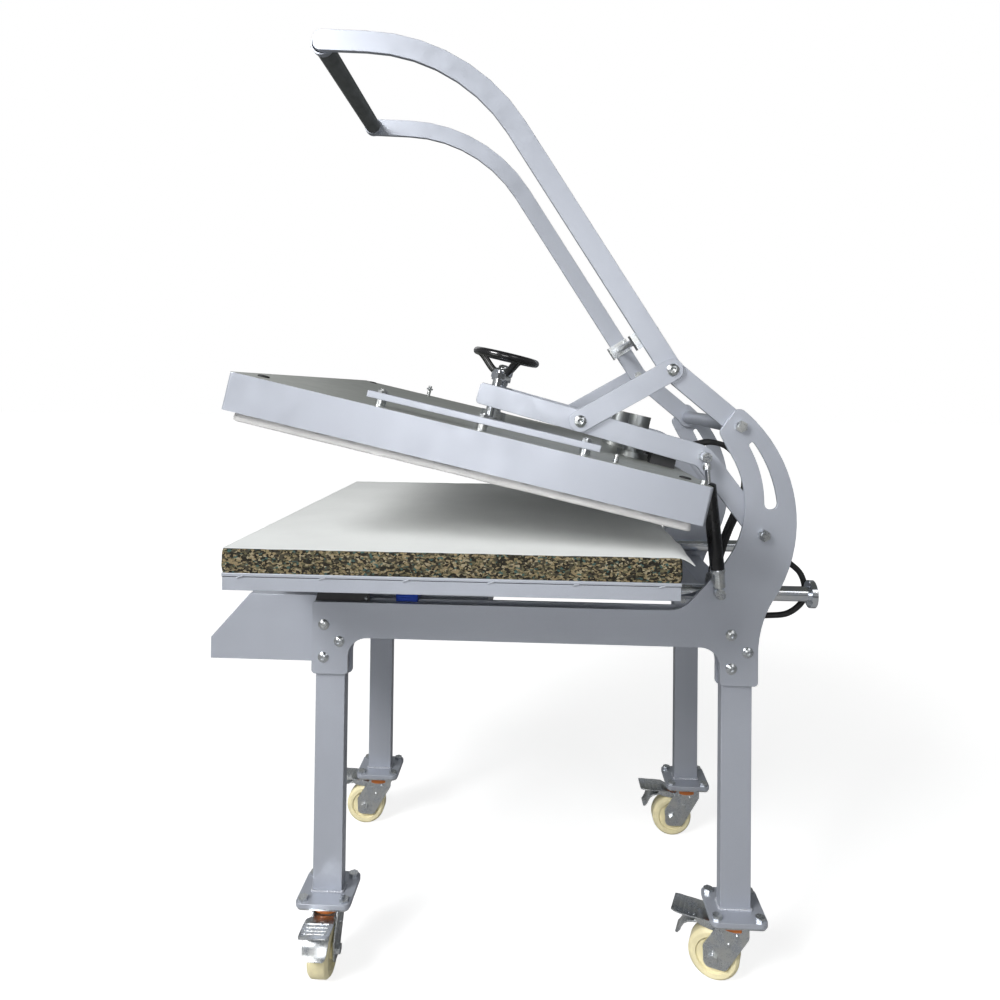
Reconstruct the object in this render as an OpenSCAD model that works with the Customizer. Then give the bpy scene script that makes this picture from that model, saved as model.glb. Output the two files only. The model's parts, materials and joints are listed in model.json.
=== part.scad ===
// Slide-out heat press: a tilting heated head over a foam-covered tray that
// rolls forward on two rods, worked by a long toggle handle, on a stand with casters.
// X runs across the press, Y from front to back and Z up from the floor.

/* [Platen] */
// Width of the heated plate, the pad and the tray
platen_w = 1000; // [800:10:1200]
// Depth of the heated plate, the pad and the tray
platen_d = 800; // [700:10:860]
// Thickness of the heated plate
heater_t = 30; // [20:1:40]
// How far the heated plate stands out below its cover
heater_drop = 15; // [8:1:24]
// Height of the cover's side
cover_h = 67; // [55:1:90]
// Sheet thickness of the cover
cover_wall = 2; // [1.5:0.1:3]
// Overhang of the cover past the heated plate on every side
cover_over = 25; // [15:1:40]
// Angle that the open head leans back
head_tilt = 12.7; // [6:0.1:14]
// Air left between the level plate and the pad
press_gap = 6; // [4:0.5:12]

/* [Tray] */
// Thickness of the foam pad
pad_t = 42; // [25:1:50]
// Thickness of the tray's top plate
tray_t = 6; // [4:0.5:10]
// Height of the tray's skirt, top plate included
skirt_h = 30.5; // [24:0.5:40]
// Thickness of the tray's skirt
skirt_t = 4; // [2:0.5:6]
// Height of the skirt's lower edge above the floor
tray_z = 811; // [808:1:830]
// Thickness of the cloth on the pad
cloth_t = 1.5; // [1:0.1:3]
// How far the cloth hangs past the rear of the pad
cloth_over = 25; // [10:1:40]

/* [Slide] */
// Diameter of the slide rods
rod_d = 30; // [20:1:34]
// Height of the rods above the beams
rod_lift = 29; // [28:0.5:31]
// Length of a slide rod
rod_len = 1090; // [1060:5:1092]
// Diameter of the stop disc at a rod's rear end
cap_d = 55; // [45:1:56]
// Thickness of the stop disc
cap_t = 12; // [8:1:16]
// Length of a bearing block along the rod
bearing_len = 45; // [30:1:55]
// Travel of the tray
travel = 440; // [300:5:440]

/* [Stand] */
// Distance between the front and rear legs
leg_span = 816; // [780:2:840]
// Front-to-back size of a leg tube
leg_d = 60; // [50:1:60]
// Side-to-side size of a leg tube
leg_t = 30; // [25:1:40]
// Wall of the leg tube
leg_wall = 2.5; // [2:0.1:4]
// Distance of a leg's middle from the middle of the press
leg_x = 256; // [246:1:280]
// Thickness of the side plates and inner rails
plate_t = 8; // [6:0.5:10]
// Height of the beams' lower edge
beam_bot = 662; // [650:1:670]
// Height of the beams' upper edge
beam_top = 734; // [728:1:738]
// Height of the gussets' lower edge
gusset_bot = 588; // [570:1:600]
// Width of a gusset
gusset_w = 75; // [72:1:84]
// Size of the square foot plate
foot_w = 110; // [100:1:120]
// Thickness of the foot plate
foot_t = 10; // [6:0.5:12]

/* [Casters] */
// Diameter of a caster wheel
wheel_d = 100; // [90:1:104]
// Width of a caster wheel
wheel_w = 42; // [32:1:44]
// Height of a whole caster
caster_h = 137; // [136:1:145]
// Distance from the swivel axis back to the wheel's axle
caster_trail = 36; // [30:1:42]

/* [Linkage] */
// Width of the flat bars of the handle, links and arms
bar_w = 44; // [38:1:48]
// Thickness of the handle bars and arms
bar_t = 12; // [10:0.5:12]
// Thickness of the links
link_t = 8; // [6:0.5:10]
// Gap between flat parts that turn against each other
side_gap = 1.5; // [1:0.1:2]
// Diameter of the linkage bolts' shanks
pin_d = 12; // [10:0.5:14]
// Radial clearance of a turning bolt
pin_clear = 0.1; // [0.05:0.01:0.3]
// Radial clearance at the links' lower pivot, which the other pivots leave free
link_clear = 4.5; // [4.2:0.1:6]
// Diameter of the grip tube
grip_d = 40; // [30:1:44]

/* [Pressure screw] */
// Diameter of the handwheel
handwheel_d = 160; // [120:1:200]
// Diameter of the handwheel's rim
rim_d = 18; // [12:1:22]
// Diameter of the pressure screw
screw_d = 30; // [20:1:34]

/* [Hidden] */
$fn = 64;

// Distance from the origin back to the middle of the stand
frame_y = 51;
// Overrun of a cut past the face that it leaves
cut = 1;
// Clearance of parts that sit against each other without touching
seat = 0.3;
// Slack round a fixed bolt or rod in its hole
fit = 0.05;
// Greatest turn between two points of a drawn arc
arc_step = 9;

// Colours of the finishes
paint = "#b2b7c2";
zinc = "#c9cdd0";
chrome = "#dfe3e6";
black = "#1b1c1e";
cream = "#efe7bd";
amber = "#d97a3c";

// Places of the stand, measured from its middle
front_y = -leg_span / 2;
rear_y = leg_span / 2;
rail_x = leg_x - leg_t / 2 - plate_t;
plate_x = leg_x + leg_t / 2;
plate_out = plate_x + plate_t;
gusset_lead = 7.5;
gusset_back = 10;
gusset_fillet = 38;
edge_round = 8;
leg_short = 4;
leg_top = beam_top - leg_short;
rail_drop = 10;

// Places of the linkage pivots, measured from the stand's middle
handle_pivot = [411, 1101];
arm_pivot = [456, 887];
elbow = [277, 1212];
link_foot = [94, 1107];
spring_top = [340, 1040];
spring_foot = [368, 774];
bar_x = plate_x - side_gap - bar_t;
link_x = bar_x + bar_t + side_gap;

// Places of the tray
tray_mid = -143;
rod_x = 240;
rod_z = beam_top + rod_lift;
tray_top = tray_z + skirt_h;
pad_top = tray_top + pad_t;

// Places of the head: level over the pad, then turned open about the arm pivot
cover_w = platen_w + 2 * cover_over;
cover_d = platen_d + 2 * cover_over;
head_level = [tray_mid, pad_top + press_gap + heater_drop + cover_h];
head_mid = turned(head_level, arm_pivot, -head_tilt);
screw_y = 9;
beam_lift = 60;
beam_s = 40;

// Functions

// Point p turned about c by angle a
function turned(p, c, a) = let (d = p - c)
    c + [d[0] * cos(a) - d[1] * sin(a), d[0] * sin(a) + d[1] * cos(a)];

// Points of an arc about c, each with no rounding of its own
function arc(c, r, a0, a1) = let (n = ceil(abs(a1 - a0) / (arc_step / 2)))
    [for (i = [0:n]) let (a = a0 + (a1 - a0) * i / n) [c[0] + r * cos(a), c[1] + r * sin(a), 0]];

function xy(p) = [p[0], p[1]];
function wrap(a) = a > 180 ? a - 360 : a <= -180 ? a + 360 : a;
function heading(p, q) = atan2(q[1] - p[1], q[0] - p[0]);

// Arc that rounds the corner q between p and s
function corner(p, q, s, r) = let (
        h0 = heading(p, q),
        turn = wrap(heading(q, s) - h0),
        side = turn > 0 ? 1 : -1,
        reach = r * tan(abs(turn) / 2),
        start = q - reach * [cos(h0), sin(h0)],
        c = start + side * r * [-sin(h0), cos(h0)],
        n = max(1, ceil(abs(turn) / arc_step))
    )
    [for (i = [0:n]) let (a = h0 - side * 90 + turn * i / n) c + r * [cos(a), sin(a)]];

// Closed outline of [y, z, radius] points with its corners rounded
function rounded(pts) = let (n = len(pts))
    [for (i = [0:n - 1]) let (q = pts[i])
        each q[2] > 0
            ? corner(xy(pts[(i + n - 1) % n]), xy(q), xy(pts[(i + 1) % n]), q[2])
            : [xy(q)]];

// One side of a strip of half-width d along a path of [y, z, bend radius] points
function strip_side(path, d, end_r) = let (n = len(path) - 1)
    [for (i = [0:n]) let (
            h0 = i > 0 ? heading(path[i - 1], path[i]) : heading(path[0], path[1]),
            h1 = i < n ? heading(path[i], path[i + 1]) : h0,
            turn = wrap(h1 - h0),
            m = h0 + turn / 2 + 90,
            reach = d / cos(turn / 2),
            r = path[i][2] + (turn > 0 ? -d : d)
        )
        [path[i][0] + reach * cos(m), path[i][1] + reach * sin(m),
         i == 0 || i == n ? end_r : max(r, 0)]];

function reversed(v) = [for (i = [len(v) - 1:-1:0]) v[i]];

// Outline of a flat bar of width w that follows a path
function strip(path, w, end_r) =
    rounded(concat(strip_side(path, w / 2, end_r), reversed(strip_side(path, -w / 2, end_r))));

// Unit vector of v
function unit(v) = v / norm(v);

// Points of a smooth curve through the route, with a few steps to each stretch
function smooth(route, steps) = let (n = len(route) - 1)
    [for (i = [0:n - 1]) let (
            p0 = route[max(i - 1, 0)], p1 = route[i], p2 = route[i + 1], p3 = route[min(i + 2, n)]
        )
        for (k = [0:steps - (i < n - 1 ? 1 : 0)]) let (t = k / steps)
            (2 * p1 + (p2 - p0) * t + (2 * p0 - 5 * p1 + 4 * p2 - p3) * t * t
                + (3 * p1 - p0 - 3 * p2 + p3) * t * t * t) / 2];

// Placing

// Moves a piece from the stand's middle to the origin of the whole press
module at_frame() { translate([0, frame_y, 0]) children(); }

// Stands a [y, z] outline up and gives it thickness from x0 outwards
module slab(x0, t) {
    translate([x0, 0, 0]) rotate([90, 0, 90]) linear_extrude(t) children();
}

// A cylinder along X that starts at x0, at the place p
module pin(p, r, x0, len) {
    translate([x0, p[0], p[1]]) rotate([0, 90, 0]) cylinder(h = len, r = r);
}

// A hexagon nut along X
module hex_x(p, across, x0, len) {
    translate([x0, p[0], p[1]]) rotate([0, 90, 0]) cylinder(h = len, d = across / cos(30), $fn = 6);
}

module mirrored() { mirror([1, 0, 0]) children(); }

// The near piece and its mirror image on the far side
module both_sides() {
    children();
    mirrored() children();
}

// The head's own frame: its middle on top of the cover, Z square to the cover
module on_head() {
    at_frame() translate([0, head_mid[0], head_mid[1]]) rotate([-head_tilt, 0, 0]) children();
}

// A block centred in X and Y that starts at z0
module block(w, d, h, z0) { translate([-w / 2, -d / 2, z0]) cube([w, d, h]); }

// Side frames

arch_mid = [235, 912];
arch_r = 287;
arch_in_mid = [227.5, 945];
arch_in_r = 193.5;
flare_r = 212.5;
flare_z = 652;
arch_in_end = -41.4;
arch_in_start = 35;
arch_top_a = 52;
tip_round = 14;
tip_front = [369, 1090];
slot_r0 = 251;
slot_r1 = 238;
slot_a0 = 38.5;
slot_a1 = 6;
slot_w0 = 11;
slot_w1 = 27;
slot_end_share = 0.45;
bolt_d = 12;
bolt_head_d = 22;
bolt_head_h = 6;
bolt_rim_h = 1.6;
bolt_socket = 8;
bolt_socket_deep = 3.4;
bolt_pitch = 33;
bolt_side = 16;
bolt_shift = 3;
bolt_mid_z = 655;
bolt_row_shares = [[-1, 1], [1, 0], [-1, -1]];
bolt_places = [for (y = [front_y, rear_y], s = bolt_row_shares)
    [y + bolt_shift + s[0] * bolt_side, bolt_mid_z + s[1] * bolt_pitch]];
hinge_d = 14;
spring_pin_d = 10;

gusset_f0 = front_y - leg_d / 2 - gusset_lead;
gusset_r1 = rear_y + leg_d / 2 + gusset_back;
gusset_r0 = gusset_r1 - gusset_w;

function gusset_points(low) = [
    [gusset_f0, low, edge_round],
    [gusset_f0 + gusset_w, low, edge_round],
    [gusset_f0 + gusset_w, beam_bot, gusset_fillet],
    [gusset_r0, beam_bot, gusset_fillet],
    [gusset_r0, low, edge_round],
    [gusset_r1, low, edge_round]
];

// Where the inner edge of the arch leaves its arc and runs straight to the beam
arch_leave = arch_in_mid + arch_in_r * [cos(arch_in_end), sin(arch_in_end)];
arch_corner_y = arch_leave[0] - (arch_leave[1] - beam_top) * tan(-arch_in_end);
arch_fillet = 60;
flare_mid = [gusset_r1 + flare_r, flare_z];
flare_a = heading(flare_mid, arch_mid);
arch_tip = arch_mid + arch_r * [cos(arch_top_a + 1), sin(arch_top_a + 1)];

module slot_shape() {
    n = 10;
    side = [for (s = [1, -1]) [for (i = [0:n]) let (
            t = i / n,
            a = slot_a0 + (slot_a1 - slot_a0) * t,
            w = slot_w0 + (slot_w1 - slot_w0) * t,
            r = slot_r0 + (slot_r1 - slot_r0) * t + s * w / 2
        )
        [arch_mid[0] + r * cos(a), arch_mid[1] + r * sin(a), i == 0 || i == n ? w * slot_end_share : 0]]];
    polygon(rounded(concat(side[0], reversed(side[1]))));
}

module hole(p, d) { translate(p) circle(d = d); }

module frame_holes() {
    for (p = bolt_places) hole(p, bolt_d + 2 * fit);
}

module side_plate() {
    color(paint) at_frame() slab(plate_x, plate_t) difference() {
        polygon(rounded(concat(
            gusset_points(gusset_bot),
            arc(flare_mid, flare_r, 180, flare_a + 0.5),
            arc(arch_mid, arch_r, flare_a - 180, arch_top_a - 4),
            [[arch_tip[0], arch_tip[1], tip_round], [tip_front[0], tip_front[1], tip_round]],
            arc(arch_in_mid, arch_in_r, arch_in_start, arch_in_end),
            [[arch_corner_y, beam_top, arch_fillet], [gusset_f0, beam_top, edge_round]]
        )));
        slot_shape();
        frame_holes();
        hole(handle_pivot, hinge_d + 2 * fit);
        hole(arm_pivot, hinge_d + 2 * fit);
        hole(spring_foot, spring_pin_d + 2 * fit);
    }
}
module side_plate_near() { side_plate(); }
module side_plate_far() { mirrored() side_plate(); }

module inner_rail() {
    color(paint) at_frame() slab(rail_x, plate_t) difference() {
        polygon(rounded(concat(
            gusset_points(gusset_bot - rail_drop),
            [[gusset_r1, beam_top, edge_round], [gusset_f0, beam_top, edge_round]]
        )));
        frame_holes();
    }
}
module inner_rail_near() { inner_rail(); }
module inner_rail_far() { mirrored() inner_rail(); }

// Legs and cross tubes

foot_round = 14;
foot_bolt_d = 10;
foot_bolt_inset = 14;
foot_pitch = foot_w - 2 * foot_bolt_inset;
foot_shares = [[-1, -1], [1, -1], [1, 1], [-1, 1]];

module foot_outline(w, r) {
    h = w / 2;
    polygon(rounded([for (s = foot_shares) [s[0] * h, s[1] * h, r]]));
}

module leg(y) {
    color(paint) at_frame() difference() {
        union() {
            translate([leg_x, y, 0]) block(leg_t, leg_d, leg_top - caster_h, caster_h);
            translate([leg_x, y, caster_h]) linear_extrude(foot_t) foot_outline(foot_w, foot_round);
        }
        translate([leg_x, y, 0]) block(
            leg_t - 2 * leg_wall, leg_d - 2 * leg_wall, leg_top - caster_h, caster_h + foot_t);
        for (p = bolt_places)
            if (abs(p[0] - y) < leg_d)
                pin(p, bolt_d / 2 + fit, leg_x - leg_t, 2 * leg_t);
        for (s = foot_shares)
            translate([leg_x + s[0] * foot_pitch / 2, y + s[1] * foot_pitch / 2, caster_h - cut])
                cylinder(h = foot_t + 2 * cut, d = foot_bolt_d + 2 * fit);
    }
}
module leg_front_near() { leg(front_y); }
module leg_front_far() { mirrored() leg(front_y); }
module leg_rear_near() { leg(rear_y); }
module leg_rear_far() { mirrored() leg(rear_y); }

cross_h = 60;
cross_wall = 3;
cross_top = beam_top;

module cross_tube(y) {
    color(paint) at_frame() translate([0, y, 0]) difference() {
        block(2 * rail_x, leg_d, cross_h, cross_top - cross_h);
        block(2 * rail_x + cut, leg_d - 2 * cross_wall, cross_h - 2 * cross_wall,
              cross_top - cross_h + cross_wall);
    }
}
module front_cross_tube() { cross_tube(front_y); }
module rear_cross_tube() { cross_tube(rear_y); }

// Control box

box_wall = 2;
box_depth = 225.5;
box_top_depth = 144.5;
box_front = gusset_f0 - box_depth;
box_nose_z = 644;
box_slope_y = gusset_f0 - box_top_depth;
box_low = 600;
deck_rise = 2;
box_top = beam_top + deck_rise;
box_x = 240;
deck_x = 205;
deck_len = 353.5;
deck_end = gusset_f0 + deck_len;
deck_low = 674;
deck_gap = 2;
deck_front = front_y + leg_d / 2 + deck_gap;
panel_w = 150;
panel_h = 78;
panel_t = 5;
panel_body = 30;
panel_lip = 10;
panel_x = 90;
rocker_x = -90;
rocker_w = 30;
rocker_h = 22;
rocker_t = 8;
rocker_rim = 4;
rocker_rim_t = 2;
rocker_play = 3;
rocker_cut_share = 0.6;
rocker_end = 2;
rocker_tilt = 10;
slope_a = heading([box_front, box_nose_z], [box_slope_y, box_top]);
slope_mid = ([box_front, box_nose_z] + [box_slope_y, box_top]) / 2;

// The sloping front of the box, with its middle at the origin and Z outwards
module on_slope() {
    at_frame() translate([0, slope_mid[0], slope_mid[1]]) rotate([slope_a, 0, 0]) children();
}

slope_top_share = 0.5;
nose_share = 0.4;

module box_outline(inset) {
    polygon([
        [box_front + inset, box_low + inset],
        [gusset_f0 - inset, box_low + inset],
        [gusset_f0 - inset, box_top - inset],
        [box_slope_y + inset * slope_top_share, box_top - inset],
        [box_front + inset, box_nose_z - inset * nose_share]
    ]);
}

module control_box() {
    color(paint) {
        difference() {
            at_frame() slab(-box_x, 2 * box_x) box_outline(0);
            at_frame() slab(-box_x + box_wall, 2 * (box_x - box_wall)) box_outline(box_wall);
            on_slope() translate([panel_x, 0, 0]) block(
                panel_w - 2 * panel_lip, panel_h - 2 * panel_lip, 4 * box_wall, -3 * box_wall);
            on_slope() translate([rocker_x, 0, 0]) block(
                rocker_w, rocker_h, 4 * box_wall, -3 * box_wall);
        }
        at_frame() difference() {
            translate([-deck_x, gusset_f0 - box_wall, deck_low])
                cube([2 * deck_x, deck_len + box_wall, box_top - deck_low]);
            translate([-deck_x + box_wall, gusset_f0 - cut, deck_low - cut])
                cube([2 * (deck_x - box_wall), deck_len - box_wall + cut,
                      box_top - deck_low - box_wall + cut]);
            translate([-deck_x - cut, gusset_f0 - cut, deck_low - cut])
                cube([2 * (deck_x + cut), deck_front - gusset_f0 + cut,
                      cross_top + seat - deck_low + cut]);
        }
    }
}

module controller() {
    color(black) on_slope() difference() {
        union() {
            translate([panel_x, 0, 0]) block(panel_w, panel_h, panel_t, 0);
            translate([panel_x, 0, 0]) block(
                panel_w - 2 * panel_lip - 2 * seat, panel_h - 2 * panel_lip - 2 * seat,
                panel_body, -panel_body);
            translate([rocker_x, 0, 0]) block(
                rocker_w + 2 * rocker_rim, rocker_h + 2 * rocker_rim, rocker_rim_t, 0);
            translate([rocker_x, 0, 0]) block(
                rocker_w - 2 * seat, rocker_h - 2 * seat, panel_body, -panel_body);
        }
        translate([rocker_x, 0, 0]) block(
            rocker_w - 2 * rocker_play + 2 * seat, rocker_h - 2 * rocker_end,
            panel_body, -panel_body / 2);
    }
}

module rocker_switch() {
    key_w = rocker_w - 2 * rocker_play;
    color(black) on_slope() translate([rocker_x, 0, 0]) rotate([rocker_tilt, 0, 0])
        slab(-key_w / 2, key_w) difference() {
            circle(r = rocker_t);
            translate([-rocker_t, rocker_t * rocker_cut_share]) square([2 * rocker_t, rocker_t]);
        }
}

// Bolts

nut_across = 18;
nut_h = 8;

// A bolt along X with a domed head and a hexagon socket
module button_bolt(p, d, head_d, face, through) {
    crown = bolt_head_h - bolt_rim_h;
    ball = (head_d * head_d / 4 + crown * crown) / (2 * crown);
    translate([face, p[0], p[1]]) rotate([0, 90, 0]) difference() {
        intersection() {
            cylinder(h = bolt_head_h + cut, d = head_d);
            translate([0, 0, bolt_head_h - ball]) sphere(r = ball);
        }
        translate([0, 0, bolt_head_h - bolt_socket_deep])
            cylinder(h = bolt_head_h, d = bolt_socket / cos(30), $fn = 6);
    }
    pin(p, d / 2, face - through, through + cut);
}

foot_nut_across = 17;
foot_nut_h = 6.5;
caster_plate_t = 4;

module frame_bolts() {
    color(zinc) at_frame() both_sides() {
        for (p = bolt_places) {
            button_bolt(p, bolt_d, bolt_head_d, plate_out, leg_t + 2 * plate_t);
            hex_x(p, nut_across, rail_x - nut_h, nut_h);
        }
        for (y = [front_y, rear_y], s = foot_shares)
            translate([leg_x + s[0] * foot_pitch / 2, y + s[1] * foot_pitch / 2, 0]) {
                translate([0, 0, caster_h + foot_t])
                    cylinder(h = foot_nut_h, d = foot_nut_across / cos(30), $fn = 6);
                translate([0, 0, caster_h - caster_plate_t])
                    cylinder(h = caster_plate_t + foot_t + cut, d = foot_bolt_d);
            }
    }
}

pivot_head_d = 21;
pivot_stub = 3;
pivot_nut_h = 12;
eye_pin_out = 2;
eye_head_h = 4;

module pivot_bolts() {
    color(zinc) at_frame() both_sides() {
        for (p = [handle_pivot, arm_pivot]) {
            pin(p, hinge_d / 2, bar_x - seat, plate_out - bar_x + seat + pivot_nut_h + pivot_stub);
            hex_x(p, pivot_head_d, plate_out, pivot_nut_h);
        }
        pin(spring_foot, spring_pin_d / 2, plate_x - nut_h,
            spring_x + spring_eye / 2 + eye_pin_out - plate_x + nut_h);
        hex_x(spring_foot, nut_across, plate_x - nut_h, nut_h);
        pin(spring_foot, spring_pin_d, spring_x + spring_eye / 2 + seat, eye_head_h);
    }
}

// Slide

bearing_pitch = 146;
block_w = 50;
block_top = 27;
shoe_t = 8;
shoe_h = 38;
ring_t = 2;
bearing_clear = 0.05;
rod_inset = 10;
saddle_len = 40;
saddle_w = 44;
saddle_drop = 7;
rib_w = 40;
rib_wall = 3;
rib_rise = 0.5;
rib_low = tray_z + rib_rise;
saddle_inset = 28;
tray_front = tray_mid - platen_d / 2;
tray_rear = tray_mid + platen_d / 2;
rod_rear = tray_front + rod_inset + rod_len + cap_t;
saddle_front_y = tray_front + saddle_inset;
saddle_rear_y = tray_rear - saddle_inset - seat;
rear_block_y = saddle_rear_y - saddle_len / 2 - travel - seat - bearing_len / 2;
front_block_y = rear_block_y - bearing_pitch;

guard_t = 3;
guard_low = 3;
guard_h = 29;
guard_len = 112;
guard_slant = 8;
guard_lead = 4;
guard_front = front_y - leg_d / 2 - guard_lead;

module slide_bearings() {
    color(black) at_frame() both_sides() slab(plate_x - guard_t, guard_t)
        translate([guard_front, beam_top - guard_low])
        polygon([[0, 0], [guard_len, 0], [guard_len, guard_h], [guard_slant, guard_h]]);
    color("#2f55b8") at_frame() both_sides() for (y = [front_block_y, rear_block_y]) difference() {
        union() {
            translate([rod_x, y, 0]) block(block_w, bearing_len, rod_lift + block_top, beam_top);
            if (y == rear_block_y) translate([rail_x - shoe_t, y - bearing_len / 2, beam_top - shoe_h])
                cube([shoe_t, bearing_len, shoe_h + cut]);
        }
        translate([rod_x, y - bearing_len, rod_z]) rotate([-90, 0, 0])
            cylinder(h = 2 * bearing_len, d = rod_d + 2 * bearing_clear);
    }
}

module slide_rods() {
    color(chrome) at_frame() both_sides() translate([rod_x, rod_rear - cap_t - rod_len, rod_z])
        rotate([-90, 0, 0]) cylinder(h = rod_len, d = rod_d);
}

cap_edge = 1;

module rod_end_caps() {
    color(chrome) at_frame() both_sides() translate([rod_x, rod_rear - cap_t, rod_z]) rotate([-90, 0, 0])
        rotate_extrude() polygon([
            [0, 0], [cap_d / 2 - cap_edge, 0], [cap_d / 2, cap_edge], [cap_d / 2, cap_t - cap_edge],
            [cap_d / 2 - cap_edge, cap_t], [0, cap_t]]);
}

module rod_saddles() {
    color(paint) at_frame() both_sides() for (y = [saddle_front_y, saddle_rear_y]) difference() {
        translate([rod_x, y, 0]) block(saddle_w, saddle_len, rib_low - rod_z + saddle_drop, rod_z - saddle_drop);
        translate([rod_x, y - saddle_len, rod_z]) rotate([-90, 0, 0])
            cylinder(h = 2 * saddle_len, d = rod_d + 2 * fit);
    }
}

tray_lip = 1;

// Top plate with a small lip over its welded skirt, and two ribs that carry the rods
module tray() {
    lip = 2 * tray_lip;
    color(paint) at_frame() {
        translate([0, tray_mid, 0]) block(platen_w, platen_d, tray_t, tray_top - tray_t);
        translate([0, tray_mid, 0]) difference() {
            block(platen_w - lip, platen_d - lip, skirt_h - tray_t / 2, tray_z);
            block(platen_w - lip - 2 * skirt_t, platen_d - lip - 2 * skirt_t,
                  skirt_h - tray_t + cut, tray_z - cut);
        }
        for (y = [saddle_front_y, saddle_rear_y]) translate([0, y, 0]) difference() {
            block(platen_w - skirt_t, rib_w, skirt_h - tray_t, rib_low);
            block(platen_w, rib_w - 2 * rib_wall, skirt_h - tray_t - 2 * rib_wall, rib_low + rib_wall);
        }
    }
}

pad_crown = 1.2;
pad_draw = 1.5;

// Foam block with slightly drawn-in sides and a low crown
module pad() {
    h = pad_t - seat;
    color("#4b4a3c") at_frame() translate([0, tray_mid, tray_top + seat / 2])
        rotate([90, 0, 90]) translate([0, 0, -platen_w / 2]) linear_extrude(platen_w)
            polygon(rounded([
                [-platen_d / 2, 0, 0],
                [platen_d / 2, 0, 0],
                [platen_d / 2 - pad_draw, h / 2, h],
                [platen_d / 2, h - pad_crown, pad_crown],
                [platen_d / 2 - 4 * pad_crown, h, 0],
                [-platen_d / 2 + 4 * pad_crown, h, 0],
                [-platen_d / 2, h - pad_crown, pad_crown],
                [-platen_d / 2 + pad_draw, h / 2, h]
            ]));
}

cloth_hang = 16;
cloth_mid_share = 0.3;

// Cloth with its rear edge over the pad, drooping a little
module cloth_sheet() {
    y0 = tray_front;
    y1 = tray_rear;
    z0 = pad_top;
    color("#dfe3da") at_frame() slab(-platen_w / 2, platen_w) polygon([
        [y0, z0], [y1, z0], [y1 + cloth_over / 2, z0 - cloth_hang * cloth_mid_share],
        [y1 + cloth_over, z0 - cloth_hang],
        [y1 + cloth_over + cloth_t, z0 - cloth_hang + cloth_t],
        [y1 + cloth_over / 2 + cloth_t / 2, z0 - cloth_hang * cloth_mid_share + cloth_t],
        [y1, z0 + cloth_t], [y0, z0 + cloth_t]]);
}

// Arms

arm_tip = [-113, 1163];
arm_bend = 40;
boss_d = 52;

spring_x = 297;
spring_eye = 12;
spring_stud_d = 10;
link_head_d = 24;
eye_nut_t = 6;
eye_stud_out = 4;

module arm() {
    color(paint) at_frame() slab(bar_x, bar_t) difference() {
        union() {
            polygon(strip([
                [arm_tip[0], arm_tip[1], 0],
                [spring_top[0], spring_top[1], arm_bend],
                [arm_pivot[0], arm_pivot[1], 0]], bar_w, edge_round));
            hole(arm_pivot, boss_d);
        }
        hole(arm_pivot, hinge_d + 2 * pin_clear);
        hole(link_foot, pin_d + 2 * fit);
        hole(spring_top, spring_stud_d + 2 * fit);
    }
    color(zinc) at_frame() {
        pin(link_foot, pin_d / 2, bar_x - nut_h, nut_h + bar_t + 2 * side_gap + link_t);
        hex_x(link_foot, nut_across, bar_x - nut_h, nut_h);
        button_bolt(link_foot, pin_d, link_head_d, link_x + link_t + side_gap, cut);
        pin(spring_top, spring_stud_d / 2, bar_x - nut_h,
            spring_x + spring_eye / 2 + eye_stud_out - bar_x + nut_h);
        hex_x(spring_top, nut_across, bar_x - nut_h, nut_h);
        hex_x(spring_top, nut_across, bar_x + bar_t, spring_x - spring_eye / 2 - seat - bar_x - bar_t);
        hex_x(spring_top, nut_across, spring_x + spring_eye / 2 + seat, eye_nut_t);
    }
}
module arm_near() { arm(); }
module arm_far() { mirrored() arm(); }

post_x = 150;
post_d = 19;
rear_post_x = 181;
rear_post_d = 45;
rear_post_y = 325;
rear_post_top = 90;
rear_plate_z = 36;
rear_plate_t = 14;
rear_plate_d = 56;

module arm_cross_beam() {
    color(paint) on_head() difference() {
        translate([0, screw_y, 0]) block(2 * bar_x, beam_s, beam_s, beam_lift - beam_s / 2);
        translate([0, screw_y, beam_lift - beam_s])
            cylinder(h = 2 * beam_s, d = screw_d + 2 * pin_clear);
        for (s = [-1, 1]) translate([s * post_x, screw_y, beam_lift - beam_s])
            cylinder(h = 2 * beam_s, d = post_d + 2 * pin_clear);
    }
}

module rear_post_plate() {
    color(paint) on_head() difference() {
        translate([0, rear_post_y, 0]) block(2 * bar_x, rear_plate_d, rear_plate_t, rear_plate_z);
        for (s = [-1, 1]) translate([s * rear_post_x, rear_post_y, rear_plate_z - cut])
            cylinder(h = rear_plate_t + 2 * cut, d = rear_post_d + 2 * pin_clear);
    }
}

// Head

cover_round = 6;
bushing_d = 14;
cover_hole_side = 66;
cover_hole_end = 37;
cover_round_in = 1;
cover_hole_x = cover_w / 2 - cover_hole_side;
cover_hole_y = cover_d / 2 - cover_hole_end;

module cover_shape(inset) {
    w = cover_w / 2 - inset;
    d = cover_d / 2 - inset;
    polygon(rounded([for (s = foot_shares) [s[0] * w, s[1] * d, max(cover_round - inset, cover_round_in)]]));
}

module head_cover() {
    color(paint) on_head() difference() {
        translate([0, 0, -cover_h]) linear_extrude(cover_h) cover_shape(0);
        translate([0, 0, -cover_h + cover_wall])
            linear_extrude(cover_h - 2 * cover_wall) cover_shape(cover_wall);
        block(platen_w + 2 * seat, platen_d + 2 * seat, cover_h, -cover_h - cover_wall - cut + cover_wall);
        for (sx = [-1, 1], sy = [-1, 1])
            translate([sx * cover_hole_x, sy * cover_hole_y, -2 * cover_wall])
                cylinder(h = 4 * cover_wall, d = bushing_d);
    }
}

plate_mount_d = 24;
plate_mount_side = 68;
plate_mount_end = 145;

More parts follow.
